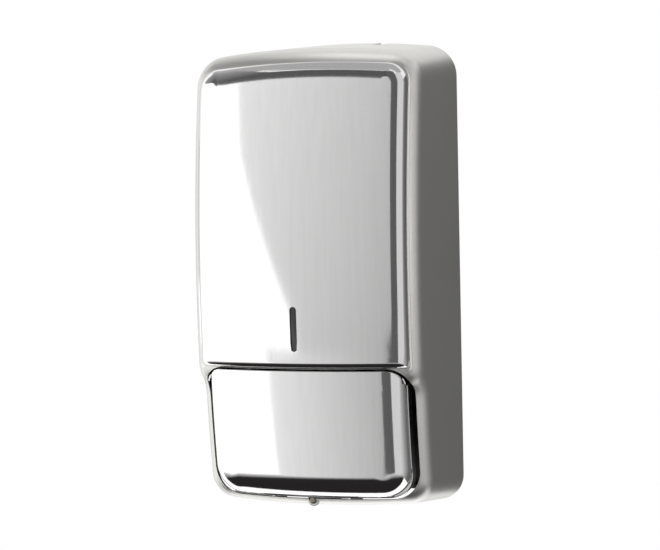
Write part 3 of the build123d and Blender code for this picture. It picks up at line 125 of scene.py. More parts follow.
def empty_material(name: str) -> bpy.types.Material:
    """Make a material without nodes.

    Args:
        name: Name of the material.

    Returns:
        The material, with an empty node tree.
    """
    material = bpy.data.materials.new(name)
    material.use_nodes = True
    material.node_tree.nodes.clear()
    return material


class Grain(Enum):
    """How a surface was made: the density of its fine pattern across, in depth and in height."""

    UPRIGHT = (1.0, 1.0, 0.02)
    ALONG_DEPTH = (1.0, 0.03, 1.0)
    EVEN = (1.0, 1.0, 1.0)


@dataclass(frozen=True)
class Finish:
    """A material with a fine pattern in its roughness, relief and tone.

    Attributes:
        name: Name of the material and of how its surface was made.
        colour: Colour as sRGB hex.
        worn: Colour in the pattern's other tone.
        metallic: 1 on bare metal.
        roughness: Middle roughness.
        spread: How far the pattern moves the roughness.
        grain: Direction of the pattern.
        grain_mm: Width of the pattern's features.
        relief_mm: Height of the pattern's relief.
        transmission: 1 where light passes through.
        coat: Clear gloss on top.
        subsurface: Share of light that scatters inside.
        streak_mm: Width of the change of tone.
    """

    name: str
    colour: str
    worn: str
    metallic: float
    roughness: float
    spread: float
    grain: Grain
    grain_mm: float
    relief_mm: float
    transmission: float = 0.0
    coat: float = 0.0
    subsurface: float = 0.0
    streak_mm: float = 40.0

    def material(self) -> bpy.types.Material:
        """Build the finish as a node material.

        Returns:
            The material, ready for a piece.
        """
        material = empty_material(self.name)
        tree = material.node_tree
        place = add_node(tree, "ShaderNodeTexCoord")
        at_piece = {"Vector": place.outputs["Object"]}
        stretch = add_node(tree, "ShaderNodeMapping", at_piece, vector_type="POINT")
        per_metre = 1.0 / (self.grain_mm * MM)
        stretch.inputs["Scale"].default_value = [per_metre * share for share in self.grain.value]
        in_grain = {"Vector": stretch.outputs["Vector"]}
        fine = add_node(tree, "ShaderNodeTexNoise", in_grain, scale=1.0, detail=3.0)
        drawn = add_node(tree, "ShaderNodeMapping", at_piece, vector_type="POINT")
        streak = self.streak_mm * MM
        drawn.inputs["Scale"].default_value = [share / streak for share in self.grain.value]
        in_streak = {"Vector": drawn.outputs["Vector"]}
        broad = add_node(tree, "ShaderNodeTexNoise", in_streak, scale=1.0, detail=2.0)
        rough = add_node(
            tree,
            "ShaderNodeMapRange",
            {"Value": fine.outputs["Fac"]},
            from_min=NOISE_LOW,
            from_max=NOISE_HIGH,
            to_min=max(self.roughness - self.spread, SMOOTHEST),
            to_max=min(self.roughness + self.spread, 1.0),
        )
        tone = add_node(tree, "ShaderNodeMix", {"Factor": broad.outputs["Fac"]}, data_type="RGBA")
        tone.inputs[MIX_FIRST].default_value = linear(self.colour)
        tone.inputs[MIX_SECOND].default_value = linear(self.worn)
        height = {"Height": fine.outputs["Fac"]}
        deep = self.relief_mm * MM
        relief = add_node(tree, "ShaderNodeBump", height, strength=1.0, distance=deep)
        shader = add_node(
            tree,
            "ShaderNodeBsdfPrincipled",
            {
                "Base Color": tone.outputs[MIX_RESULT],
                "Roughness": rough.outputs["Result"],
                "Normal": relief.outputs["Normal"],
            },
            metallic=self.metallic,
        )
        shader.inputs["Transmission Weight"].default_value = self.transmission
        shader.inputs["Coat Weight"].default_value = self.coat
        shader.inputs["Subsurface Weight"].default_value = self.subsurface
        add_node(tree, "ShaderNodeOutputMaterial", {"Surface": shader.outputs["BSDF"]})
        return material


# Stainless sheet after a fine blast: it spreads every reflection into a soft grey gradient.
SATIN_STEEL = Finish(
    "satin_blasted_stainless", "d4d3d0", "cfcecb", metallic=1.0,
    roughness=0.40, spread=0.03, grain=Grain.EVEN, grain_mm=0.4, relief_mm=0.0004,
)
# Stainless sheet polished over a brushed grain: crisp edges in its reflections, with upright
# hairlines and streaks of tone.
BRUSHED_STEEL = Finish(
    "brushed_polished_stainless", "eeeded", "e6e5e5", metallic=1.0, streak_mm=2.2,
    roughness=0.10, spread=0.03, grain=Grain.UPRIGHT, grain_mm=0.6, relief_mm=0.0012,
)
# Zinc plated mild steel: a slightly blue, dull shine.
ZINC_STEEL = Finish(
    "zinc_plated_steel", "b9bcc0", "a4a7ab", metallic=1.0,
    roughness=0.34, spread=0.10, grain=Grain.EVEN, grain_mm=1.2, relief_mm=0.004,
)
# Dark steel for the push plate's pivot parts, which stand in the plain steel slot: the dark colour
# paints the shade in the gap beside the plate.
GAP_SHADE_STEEL = Finish(
    "pivot_gap_shade_steel", "2a2a2b", "343435", metallic=1.0,
    roughness=0.45, spread=0.06, grain=Grain.EVEN, grain_mm=0.8, relief_mm=0.003,
)
# Hard drawn spring steel: darker than the sheets, with a bright shine.
SPRING_STEEL = Finish(
    "drawn_spring_steel", "8f9296", "7d8085", metallic=1.0,
    roughness=0.28, spread=0.06, grain=Grain.EVEN, grain_mm=0.4, relief_mm=0.002,
)
# Turned brass under thin nickel: grey with a warm cast, with fine turning marks.
NICKEL_BRASS = Finish(
    "nickel_plated_brass", "93897c", "7f766b", metallic=1.0,
    roughness=0.30, spread=0.08, grain=Grain.ALONG_DEPTH, grain_mm=0.3, relief_mm=0.003,
)
# Black moulded acetal: nearly matt, with a fine spark texture.
BLACK_MOULDING = Finish(
    "black_moulded_acetal", "1b1b1d", "232325", metallic=0.0,
    roughness=0.52, spread=0.08, grain=Grain.EVEN, grain_mm=0.5, relief_mm=0.010,
)
# White moulded polypropylene of the pump: waxy and smooth.
WHITE_MOULDING = Finish(
    "white_moulded_polypropylene", "dfe1e2", "d5d8da", metallic=0.0, subsurface=0.05,
    roughness=0.38, spread=0.05, grain=Grain.EVEN, grain_mm=2.5, relief_mm=0.006,
)
# Natural polyethylene of the tank: milky, lets light through.
TANK_MOULDING = Finish(
    "natural_polyethylene", "e4e8ea", "d8dde0", metallic=0.0, transmission=0.25,
    roughness=0.36, spread=0.05, grain=Grain.EVEN, grain_mm=3.0, relief_mm=0.010,
)
# Smoked acrylic strip behind the sight slot: nearly black and glossy.
SMOKED_ACRYLIC = Finish(
    "smoked_acrylic", "0c0c0d", "101011", metallic=0.0, coat=0.5,
    roughness=0.12, spread=0.02, grain=Grain.EVEN, grain_mm=4.0, relief_mm=0.001,
)
# Black nitrile rubber of the seals: matt.
BLACK_RUBBER = Finish(
    "nitrile_rubber", "18181a", "202022", metallic=0.0,
    roughness=0.72, spread=0.06, grain=Grain.EVEN, grain_mm=0.6, relief_mm=0.008,
)

SLOT_FINISHES: dict[str, Finish] = {
    "satin_steel": SATIN_STEEL,
    "polished_steel": BRUSHED_STEEL,
    "plain_steel": ZINC_STEEL,
    "spring_steel": SPRING_STEEL,
    "pin_brass": NICKEL_BRASS,
    "black_plastic": BLACK_MOULDING,
    "pump_plastic": WHITE_MOULDING,
    "tank_plastic": TANK_MOULDING,
    "smoked_window": SMOKED_ACRYLIC,
    "seal_rubber": BLACK_RUBBER,
}


@dataclass(frozen=True)
class Bow:
    """Bowed front that the sheet pieces follow, with depths in millimetres from the wall.

    Attributes:
        plan: Radius of the bow seen from above.
        side: Radius of the bow seen from the side.
        front: Depth of the body's front at mid height.
    """

    plan: float = 170.0
    side: float = 680.0
    front: float = 91.2

    def depth(self, x: float, z: float, rise: float = 0.0) -> float:
        """Depth of a surface that stands a rise in front of the body's front.

        Args:
            x: Place across.
            z: Height.
            rise: Distance in front of the body.

        Returns:
            Distance from the wall.
        """
        radius = self.plan - self.side + math.sqrt((self.side + rise) ** 2 - z * z)
        return self.front - self.plan + math.sqrt(radius * radius - x * x)

    def tilt(self, x: float, z: float, way: tuple[float, float]) -> float:
        """Slope of the front towards a direction in front view, in radians.

        Args:
            x: Place across.
            z: Height.
            way: Unit direction across and up.

        Returns:
            Angle by which the surface falls back in that direction.
        """
        ahead = self.depth(x + way[0] * SLOPE_STEP, z + way[1] * SLOPE_STEP)
        behind = self.depth(x - way[0] * SLOPE_STEP, z - way[1] * SLOPE_STEP)
        return math.atan((behind - ahead) / (2 * SLOPE_STEP))


BOW = Bow()


def between(first: Place, last: Place, share: float) -> Place:
    """Find a place on the line between two others.

    Args:
        first: Place at share 0.
        last: Place at share 1.
        share: Share of the way.

    Returns:
        The place.
    """
    return first[0] + (last[0] - first[0]) * share, first[1] + (last[1] - first[1]) * share


def arc_points(hub: Place, radius: float, start: float, span: float, count: int) -> list[Place]:
    """Walk along an arc, up to the step before its end.

    Args:
        hub: Middle of the arc.
        radius: Radius of the arc.
        start: Angle of its start in radians.
        span: Angle that it spans.
        count: Number of points.

    Returns:
        Places on the arc.
    """
    turns = [start + span * i / count for i in range(count)]
    return [(hub[0] + radius * math.cos(a), hub[1] + radius * math.sin(a)) for a in turns]


@dataclass(frozen=True)
class Outline:
    """Rounded outline in front view whose top edge may be bowed.

    Attributes:
        half: Half of the width.
        top: Height of the top edge at its middle.
        foot: Height of the bottom edge.
        bow: Radius of the top edge.
        top_r: Radius of the top corners.
        foot_r: Radius of the bottom corners.
    """

    half: float
    top: float
    foot: float
    bow: float
    top_r: float
    foot_r: float

    def inset(self, q: float) -> "Outline":
        """Shrink the outline.

        Args:
            q: Distance to the new outline.

        Returns:
            The smaller outline.
        """
        return Outline(
            self.half - q,
            self.top - q,
            self.foot + q,
            self.bow - q,
            max(self.top_r - q, min(self.top_r, LEAST_CORNER)),
            max(self.foot_r - q, min(self.foot_r, LEAST_CORNER)),
        )

    def points(self, side: int = 40, edge: int = 60, turn: int = 14) -> list[Place]:
        """Walk round the outline, always with the same number of points.

        Args:
            side: Points on each upright side.
            edge: Points on the top and on the bottom edge.
            turn: Points on each corner.

        Returns:
            Places across and up, from the foot of the right side up, over the top and back round.
        """
        hub_x = self.half - self.top_r
        hub_z = self.top - self.bow + math.sqrt((self.bow - self.top_r) ** 2 - hub_x**2)
        last = math.atan2(hub_z - self.top + self.bow, hub_x)
        low_z = self.foot + self.foot_r
        low_x = self.half - self.foot_r
        quarter = math.pi / 2
        found = [(self.half, low_z + (hub_z - low_z) * i / side) for i in range(side)]
        found += arc_points((hub_x, hub_z), self.top_r, 0.0, last, turn)
        found += arc_points((0.0, self.top - self.bow), self.bow, last, math.pi - 2 * last, edge)
        found += arc_points((-hub_x, hub_z), self.top_r, math.pi - last, last, turn)
        found += [(-self.half, hub_z + (low_z - hub_z) * i / side) for i in range(side)]
        found += arc_points((-low_x, low_z), self.foot_r, math.pi, quarter, turn)
        found += [(-low_x + 2 * low_x * i / edge, self.foot) for i in range(edge)]
        found += arc_points((low_x, low_z), self.foot_r, -quarter, quarter, turn)
        return found

    def reach(self, x: float, z: float) -> tuple[float, tuple[float, float]]:
        """Distance from a point inside to the nearest edge or corner.

        Args:
            x: Place across.
            z: Height.

        Returns:
            The distance and the direction to the nearest place of the outline.
        """
        way = 1.0 if x >= 0 else -1.0
        across = abs(x)
        hub_x = self.half - self.top_r
        hub_z = self.top - self.bow + math.sqrt((self.bow - self.top_r) ** 2 - hub_x**2)
        low_x, low_z = self.half - self.foot_r, self.foot + self.foot_r
        span = math.hypot(across - hub_x, z - hub_z)
        last = math.atan2(hub_z - self.top + self.bow, hub_x)
        beyond = math.atan2(z - self.top + self.bow, across) - last
        if across > hub_x and z > hub_z and beyond < 0 and span > TINY:
            return self.top_r - span, (way * (across - hub_x) / span, (z - hub_z) / span)
        span = math.hypot(across - low_x, z - low_z)
        if across > low_x and z < low_z and span > TINY:
            return self.foot_r - span, (way * (across - low_x) / span, (z - low_z) / span)
        radius = math.hypot(x, z - self.top + self.bow)
        options = [
            (self.half - across, (way, 0.0)),
            (self.bow - radius, (x / radius, (z - self.top + self.bow) / radius)),
            (z - self.foot, (0.0, -1.0)),
        ]
        return min(options)


def round_drop(q: float, radius: float, tilt: float) -> float:
    """Fall of a rounded edge below its sheet.

    Args:
        q: Distance from the edge's wall.
        radius: Radius of the rounding.
        tilt: Angle by which the sheet already falls towards the wall.

    Returns:
        How far the rounding lies behind the sheet.
    """
    q = max(q, 0.0)
    if q >= radius * (1 - math.sin(tilt)):
        return 0.0
    sheet = (q - radius) * math.tan(tilt) + radius / math.cos(tilt)
    return sheet - math.sqrt(radius**2 - (radius - q) ** 2)


def add_sheet(
    name: str, loops: list[list[tuple[float, float, float]]], closed: bool, thick: float
) -> bpy.types.Object:
    """Make a pressed sheet from loops of points, the first at its rear edge and the last innermost.

    Args:
        name: Name of the piece.
        loops: Loops of places across, depth from the wall and height, in millimetres.
        closed: Whether the innermost loop is filled.
        thick: Thickness of the sheet, grown inwards.

    Returns:
        The piece's object.
    """
    count = len(loops[0])
    points = [(x * MM, -d * MM, z * MM) for loop in loops for x, d, z in loop]
    faces = []
    for ring in range(len(loops) - 1):
        for i in range(count):
            j = (i + 1) % count
            near, far = ring * count, (ring + 1) * count
            faces.append((near + i, near + j, far + j, far + i))
    if closed:
        faces.append(tuple((len(loops) - 1) * count + i for i in range(count)))
    mesh = bpy.data.meshes.new(name)
    mesh.from_pydata(points, [], faces)
    sheet = bpy.data.objects.new(name, mesh)
    bpy.context.scene.collection.objects.link(sheet)
    bpy.ops.object.select_all(action="DESELECT")
    sheet.select_set(True)
    bpy.context.view_layer.objects.active = sheet
    bpy.ops.object.mode_set(mode="EDIT")
    bpy.ops.mesh.select_all(action="SELECT")
    bpy.ops.mesh.remove_doubles(threshold=MERGE_MM * MM)
    bpy.ops.object.mode_set(mode="OBJECT")
    bpy.ops.object.modifier_add(type="SOLIDIFY")
    wall = sheet.modifiers[-1]
    wall.thickness = thick * MM
    wall.offset = -1.0
    bpy.ops.object.modifier_apply(modifier=wall.name)
    bpy.ops.object.shade_smooth_by_angle(angle=math.radians(SHARP_DEGREES))
    return sheet


def add_studs(
    sheet: bpy.types.Object, places: list[Place], rise: float, length: float
) -> None:
    """Weld studs on the back of a sheet.

    Args:
        sheet: Piece that gets them.
        places: Places across and up, in millimetres.
        rise: Where each stud starts in front of the body's front.
        length: Length of a stud.
    """
    bpy.ops.object.select_all(action="DESELECT")
    studs = []
    for x, z in places:
        step = SLOPE_STEP
        slope_x = (BOW.depth(x - step, z) - BOW.depth(x + step, z)) / (2 * step)
        slope_z = (BOW.depth(x, z - step) - BOW.depth(x, z + step)) / (2 * step)
        out = Vector((slope_x, -1.0, slope_z)).normalized()
        foot = Vector((x, -BOW.depth(x, z), z)) + out * rise
        turn = out.to_track_quat("Z", "Y").to_euler()
        bpy.ops.mesh.primitive_cylinder_add(
            vertices=ROUND_SIDES,
            radius=STUD_RADIUS * MM,
            depth=length * MM,
            location=(foot - out * length / 2) * MM,
            rotation=turn,
        )
        studs.append(bpy.context.active_object)
    for stud in studs:
        stud.select_set(True)
    sheet.select_set(True)
    bpy.context.view_layer.objects.active = sheet
    bpy.ops.object.join()


@dataclass
class FrontPanel:
    """Raised front panel: one pressed sheet with a rounded edge and a sight slot.

    Attributes:
        outline: Edge of the panel in front view.
        rise: Distance of its face in front of the body.
        edge_r: Radius of the rounded edge.
        top_more: What the rounding gains at the top.
        foot_r: Radius of the rounding at the foot.
        slot_half: Half of the slot's width.
        slot_reach: Half of the slot's height.
        slot_z: Height of the slot's middle.
        sheet: Thickness of the sheet.
        body: Edge of the body in front view, without its foot.
        body_r: Radius of the body's rounded edge.
        tuck: How far the panel's rear edge sinks behind the body's skin.
        wall_shares: Shares of the edge's wall where loops lie.
        edge_rows: Loops on the rounding.
        edge_share: Share of the rounding that these loops take.
        face_rows: Loops from the rounding in to the slot.
        stud_x: Place of the studs across.
        stud_top: Height of the top studs.
        stud_foot: Height of the lowest studs.
        stud_more: What a stud is longer than the panel's rise.
    """

    outline: Outline = Outline(half=56.5, top=112.9, foot=-44.0, bow=620.0, top_r=12.0, foot_r=0.6)
    rise: float = 4.8
    edge_r: float = 9.5
    top_more: float = 3.0
    foot_r: float = 4.5
    slot_half: float = 1.8
    slot_reach: float = 11.5
    slot_z: float = -23.5
    sheet: float = 1.0
    body: Outline = Outline(
        half=61.75, top=117.6, foot=OPEN_FOOT, bow=395.0, top_r=17.0, foot_r=OPEN_CORNER
    )
    body_r: float = 11.0
    tuck: float = 0.15
    wall_shares: tuple[float, ...] = (0.35, 0.7)
    edge_rows: int = 18
    edge_share: float = 0.94
    face_rows: int = 34
    stud_x: float = 46.5
    stud_top: float = 98.9
    stud_foot: float = -24.0
    stud_more: float = 3.7

    def depth(self, x: float, z: float) -> float:
        """Depth of the panel's face.

        Args:
            x: Place across.
            z: Height.

        Returns:
            Distance from the wall.
        """
        q, way = replace(self.outline, foot=OPEN_FOOT, foot_r=OPEN_CORNER).reach(x, z)
        drop = round_drop(q, self.edge_r + self.top_more * max(way[1], 0.0), BOW.tilt(x, z, way))
        foot_drop = round_drop(z - self.outline.foot, self.foot_r, BOW.tilt(x, z, (0.0, -1.0)))
        return BOW.depth(x, z, self.rise) - drop - foot_drop

    def seat(self, x: float, z: float) -> float:
        """Depth of the body's skin under the panel's edge.

        Args:
            x: Place across.
            z: Height.

        Returns:
            Distance from the wall.
        """
        q, way = self.body.reach(x, z)
        return BOW.depth(x, z) - round_drop(q, self.body_r, BOW.tilt(x, z, way))

    def slot_point(self, x: float, z: float) -> Place:
        """Place on the slot's edge in the direction of a point.

        Args:
            x: Place across.
            z: Height.

        Returns:
            The place on the slot's edge.
        """
        turn = math.atan2(z - self.slot_z, x)
        way = (math.cos(turn), math.sin(turn))
        straight = self.slot_reach - self.slot_half
        near = self.slot_half / max(abs(way[0]), TINY)
        if abs(near * way[1]) <= straight:
            return near * way[0], self.slot_z + near * way[1]
        lift = straight * abs(way[1])
        far = lift + math.sqrt(self.slot_half**2 - straight**2 + lift**2)
        return far * way[0], self.slot_z + far * way[1]

    def build(self) -> bpy.types.Object:
        """Press the panel.

        Returns:
            The panel's object.
        """
        rim = self.outline.points()
        seats = [self.seat(x, z) for x, z in rim]
        fronts = [self.depth(x, z) for x, z in rim]
        loops = [[(x, seat - self.tuck, z) for (x, z), seat in zip(rim, seats)]]
        for share in self.wall_shares:
            depths = [seat + share * (front - seat) for seat, front in zip(seats, fronts)]
            loops.append([(x, depth, z) for (x, z), depth in zip(rim, depths)])
        for k in range(self.edge_rows + 1):
            q = self.edge_r * (1 - math.cos(math.pi / 2 * self.edge_share * k / self.edge_rows))
            ring = self.outline.inset(q).points()
            loops.append([(x, self.depth(x, z), z) for x, z in ring])
        ends = [self.slot_point(x, z) for x, z in ring]
        for k in range(1, self.face_rows + 1):
            share = k / self.face_rows
            blend = [between(start, end, share) for start, end in zip(ring, ends)]
            loops.append([(x, self.depth(x, z), z) for x, z in blend])
        panel = add_sheet("front_panel_sheet", loops, False, self.sheet)
        add_studs(panel, self.studs(), self.rise - STUD_SINK, self.rise + self.stud_more)
        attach(panel, "cover")
        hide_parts("front_panel")
        log.info("pressed the front panel, %d faces", len(panel.data.polygons))
        return panel

    def studs(self) -> list[Place]:
        """List the panel's studs.

        Returns:
            Places across and up.
        """
        heights = (self.stud_top, (self.stud_top + self.stud_foot) / 2, self.stud_foot)
        return [(side * self.stud_x, z) for side in (-1, 1) for z in heights]


@dataclass
class PushPlate:
    """Push plate: a crowned sheet on a flat brim with a turned back flange.

    Attributes:
        brim: Edge of the brim in front view.
        crown: Outline where the crown's rounding would end, open at the top.
        rise: Distance of the crown's face in front of the body's front.
        brim_rise: The same for the brim, which lies behind it.
        edge_r: Radius of the crown's rounding.
        foot_more: What the rounding gains at the foot.
        lip_r: Radius of the brim's outer edge.
        flange: Depth of the flange behind the brim.
        top_flange: Depth of the flange behind the face at the top.
        pivot_z: Height above which the flange is the top one.
        sheet: Thickness of the sheet.
        walk_step: Length of a step on the walk inwards from the brim's edge.
        walk_steps: Steps on that walk.
        even_out: Neighbours on each side over which the crease is evened out.
        lip_rows: Loops on the brim's outer edge.
        lip_margin: Flat start of the brim beside its outer edge.
        brim_shares: Shares of the brim's width where loops lie.
        crown_rows: Distances from the crease of the loops on the rounding.
        face_rows: Loops from the rounding in to the middle.
        face_share: Share of the way to the middle that these loops take.
        stud_x: Place of the studs across.
        stud_drops: Distances of the studs below the plate's top.
        stud_length: Length of a stud.
    """

    brim: Outline = Outline(half=53.6, top=-45.0, foot=-112.0, bow=9000.0, top_r=9.0, foot_r=12.0)
    crown: Outline = Outline(half=53.8, top=400.0, foot=-112.2, bow=9000.0, top_r=1.0, foot_r=16.0)
    rise: float = 2.8
    brim_rise: float = -5.0
    edge_r: float = 14.0
    foot_more: float = 1.6
    lip_r: float = 0.35
    flange: float = 5.5
    top_flange: float = 3.5
    pivot_z: float = -53.0
    sheet: float = 0.6
    walk_step: float = 0.1
    walk_steps: int = 120
    even_out: int = 4
    lip_rows: int = 4
    lip_margin: float = 0.12
    brim_shares: tuple[float, ...] = (0.0, 0.4, 0.7, 1.0)
    crown_rows: tuple[float, ...] = (
        0.3, 0.7, 1.1, 1.6, 2.1, 2.7, 3.3, 4.0, 4.7, 5.4, 6.2, 7.0, 7.8, 8.5,
    )
    face_rows: int = 24
    face_share: float = 0.98
    stud_x: float = 24.0
    stud_drops: tuple[float, ...] = (16.0, 42.0)
    stud_length: float = 6.4

    def face(self, x: float, z: float) -> float:
        """Depth of the crowned face.

        Args:
            x: Place across.
            z: Height.

        Returns:
            Distance from the wall.
        """
        q, way = self.crown.reach(x, z)
        radius = self.edge_r + self.foot_more * max(-way[1], 0.0)
        return BOW.depth(x, z, self.rise) - round_drop(q, radius, BOW.tilt(x, z, way))

    def depth(self, x: float, z: float) -> float:
        """Depth of the face or of the brim, whichever stands in front.

        Args:
            x: Place across.
            z: Height.

        Returns:
            Distance from the wall.
        """
        return max(self.face(x, z), BOW.depth(x, z, self.brim_rise))

    def walk(self) -> list[list[Place]]:
        """Walk inwards from the brim's edge.

        Returns:
            For each step, the places across and up of all points round the plate.
        """
        return [self.brim.inset(self.walk_step * k).points() for k in range(self.walk_steps + 1)]

    def creases(self, walk: list[list[Place]]) -> list[float]:
        """Find the crease between brim and crown.

        Args:
            walk: Steps of the walk inwards.

        Returns:
            Distance of the crease from the brim's edge at each point round the plate, evened out.
        """
        count = len(walk[0])
        found = []
        for i in range(count):
            places = [step[i] for step in walk]
            on_crown = [self.face(x, z) >= BOW.depth(x, z, self.brim_rise) for x, z in places]
            steps = on_crown.index(True) if True in on_crown else self.walk_steps
            found.append(self.walk_step * steps)
        near = range(-self.even_out, self.even_out + 1)
        return [sum(found[(i + k) % count] for k in near) / len(near) for i in range(count)]

    def step_in(self, walk: list[list[Place]], i: int, q: float) -> Place:
        """Find a place on the walk inwards.

        Args:
            walk: Steps of the walk inwards.
            i: Number of the point round the plate.
            q: Distance from the brim's edge.

        Returns:
            The place across and up.
        """
        k = min(int(q / self.walk_step), self.walk_steps - 1)
        return between(walk[k][i], walk[k + 1][i], q / self.walk_step - k)

    def build(self) -> bpy.types.Object:
        """Press the plate.

        Returns:
            The plate's object.
        """
        walk = self.walk()
        crease = self.creases(walk)
        rim = walk[0]
        around = range(len(rim))
        top_rise, low_rise = self.rise - self.top_flange, self.brim_rise - self.flange
        rises = [top_rise if z > self.pivot_z else low_rise for x, z in rim]
        loops = [[(x, BOW.depth(x, z, rise), z) for (x, z), rise in zip(rim, rises)]]
        loops.append([(x, self.depth(x, z) - self.lip_r, z) for x, z in rim])
        for k in range(1, self.lip_rows + 1):
            turn = math.pi / 2 * k / self.lip_rows
            inset = self.lip_r * (1 - math.cos(turn))
            fall = self.lip_r * (1 - math.sin(turn))
            places = [self.step_in(walk, i, inset) for i in around]
            loops.append([(x, self.depth(*edge) - fall, z) for (x, z), edge in zip(places, rim)])
        flat = self.lip_r + self.lip_margin
        for share in self.brim_shares:
            places = [self.step_in(walk, i, max(flat, crease[i] * share)) for i in around]
            loops.append([(x, self.depth(x, z), z) for x, z in places])
        for more in self.crown_rows:
            places = [self.step_in(walk, i, max(flat, crease[i]) + more) for i in around]
            loops.append([(x, self.depth(x, z), z) for x, z in places])
        hub_z = (self.brim.top + self.brim.foot) / 2
        for k in range(1, self.face_rows + 1):
            share = 1 - self.face_share * k / self.face_rows
            spread = [(x * share, hub_z + (z - hub_z) * share) for x, z in places]
            loops.append([(x, self.depth(x, z), z) for x, z in spread])
        plate = add_sheet("push_plate_sheet", loops, True, self.sheet)
        heights = [self.brim.top - drop for drop in self.stud_drops]
        studs = [(side * self.stud_x, z) for side in (-1, 1) for z in heights]
        add_studs(plate, studs, self.rise - STUD_SINK, self.stud_length)
        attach(plate, "push_plate")
        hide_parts("push_plate")
        log.info("pressed the push plate, %d faces", len(plate.data.polygons))
        return plate


@dataclass
class Dispenser:
    """The whole dispenser: its pressed sheets and the pieces dressed by the slots of the record.

    Attributes:
        panel: Front panel.
        plate: Push plate.
        gap_shaded_nodes: Nodes in the plain steel slot that get a dark steel, which paints the
            shade in the gap beside the push plate.
        sheets: The two pressed sheets, once built.
    """

    panel: FrontPanel = field(default_factory=FrontPanel)
    plate: PushPlate = field(default_factory=PushPlate)
    gap_shaded_nodes: tuple[str, ...] = ("pivot_brackets", "pivot_pin", "pivot_clips")
    sheets: list[bpy.types.Object] = field(default_factory=list)

    def build(self) -> None:
        """Press the sheets that the light runs over."""
        self.sheets = [self.panel.build(), self.plate.build()]

    def dress(self) -> None:
        """Give every node of the frame, and every new piece, the finish of its slot; the pivot
        parts get a dark steel instead, which paints the shade in the gap beside the plate.
        """
        finishes = {slot: finish.material() for slot, finish in SLOT_FINISHES.items()}
        # The pivot parts' dark steel paints the shade in the gap beside the push plate.
        gap_shade_material = GAP_SHADE_STEEL.material()
        for subpart in frame["record"]["subparts"]:
            piece = frame["nodes"][subpart["node"]]
            piece.data.materials.clear()
            dark = subpart["node"] in self.gap_shaded_nodes
            piece.data.materials.append(gap_shade_material if dark else finishes[subpart["material_slot"]])
            log.info("dressed %s as %s", subpart["node"], subpart["material_slot"])
        for sheet in self.sheets:
            sheet.data.materials.clear()
            sheet.data.materials.append(finishes["polished_steel"])


def polar(azimuth: float, elevation: float, radius: float) -> Vector:
    """Place a point around the dispenser.

    Args:
        azimuth: Degrees from straight in front towards the right.
        elevation: Degrees above the horizontal.
        radius: Distance from the origin in metres.

    Returns:
        The point in the shared frame.
    """
    turn, lift = math.radians(azimuth), math.radians(elevation)
    flat = math.cos(lift)
    return radius * Vector((flat * math.sin(turn), -flat * math.cos(turn), math.sin(lift)))


def arc(radius: float, corners: list[tuple[float, float]]) -> list[Vector]:
    """Place corners around the dispenser.

    Args:
        radius: Distance from the origin in metres.
        corners: Azimuth and elevation of each corner in degrees.

    Returns:
        The corners in the shared frame.
    """
    return [polar(azimuth, elevation, radius) for azimuth, elevation in corners]


@dataclass
class Card:
    """A studio card that the steel reflects and the camera doesn't see.

    Attributes:
        name: Name of the card.
        colour: Tone that the steel shows, as sRGB hex.
        points: Corners of the card.
        strength: Brightness, 1 on a plain card.
        fade: Tone at the far end of a gradient, empty on a plain card.
        run: Start and end of the gradient.
        ring: Distances from the origin where a round gradient starts and ends, in place of run.
    """

    name: str
    colour: str
    points: list[Vector]
    strength: float = 1.0
    fade: str = ""
    run: tuple[Vector, Vector] = (Vector(), Vector())
    ring: tuple[float, float] = (0.0, 0.0)

    def build(self) -> bpy.types.Object:
        """Make the card, hidden from the camera, from shadows and from diffuse light.

        Returns:
            The card's object.
        """
        mesh = bpy.data.meshes.new(self.name)
        mesh.from_pydata(self.points, [], [tuple(range(len(self.points)))])
        card = bpy.data.objects.new(self.name, mesh)
        bpy.context.scene.collection.objects.link(card)
        mesh.materials.append(self.material())
        card.visible_camera = False
        card.visible_shadow = False
        card.visible_diffuse = False
        return card

    def material(self) -> bpy.types.Material:
        """Make the card's glow, plain, fading along a line or fading outwards.

        Returns:
            The card's material.
        """
        material = empty_material(self.name)
        tree = material.node_tree
        glow = add_node(tree, "ShaderNodeEmission", strength=self.strength)
        glow.inputs["Color"].default_value = linear(self.colour)
        if self.fade:
            place = add_node(tree, "ShaderNodeTexCoord")
            measure = "LENGTH" if any(self.ring) else "DOT_PRODUCT"
            along = add_node(tree, "ShaderNodeVectorMath", operation=measure)
            tree.links.new(place.outputs["Object"], along.inputs[0])
            near, far = self.ring
            if not any(self.ring):
                first, last = self.run
                slope = (last - first) / (last - first).length_squared
                along.inputs[1].default_value = slope
                near, far = slope.dot(first), slope.dot(last)
            value = {"Value": along.outputs["Value"]}
            share = add_node(tree, "ShaderNodeMapRange", value, from_min=near, from_max=far)
            factor = {"Factor": share.outputs["Result"]}
            tone = add_node(tree, "ShaderNodeMix", factor, data_type="RGBA")
            tone.inputs[MIX_FIRST].default_value = linear(self.colour)
            tone.inputs[MIX_SECOND].default_value = linear(self.fade)
            tree.links.new(tone.outputs[MIX_RESULT], glow.inputs["Color"])
        add_node(tree, "ShaderNodeOutputMaterial", {"Surface": glow.outputs["Emission"]})
        return material


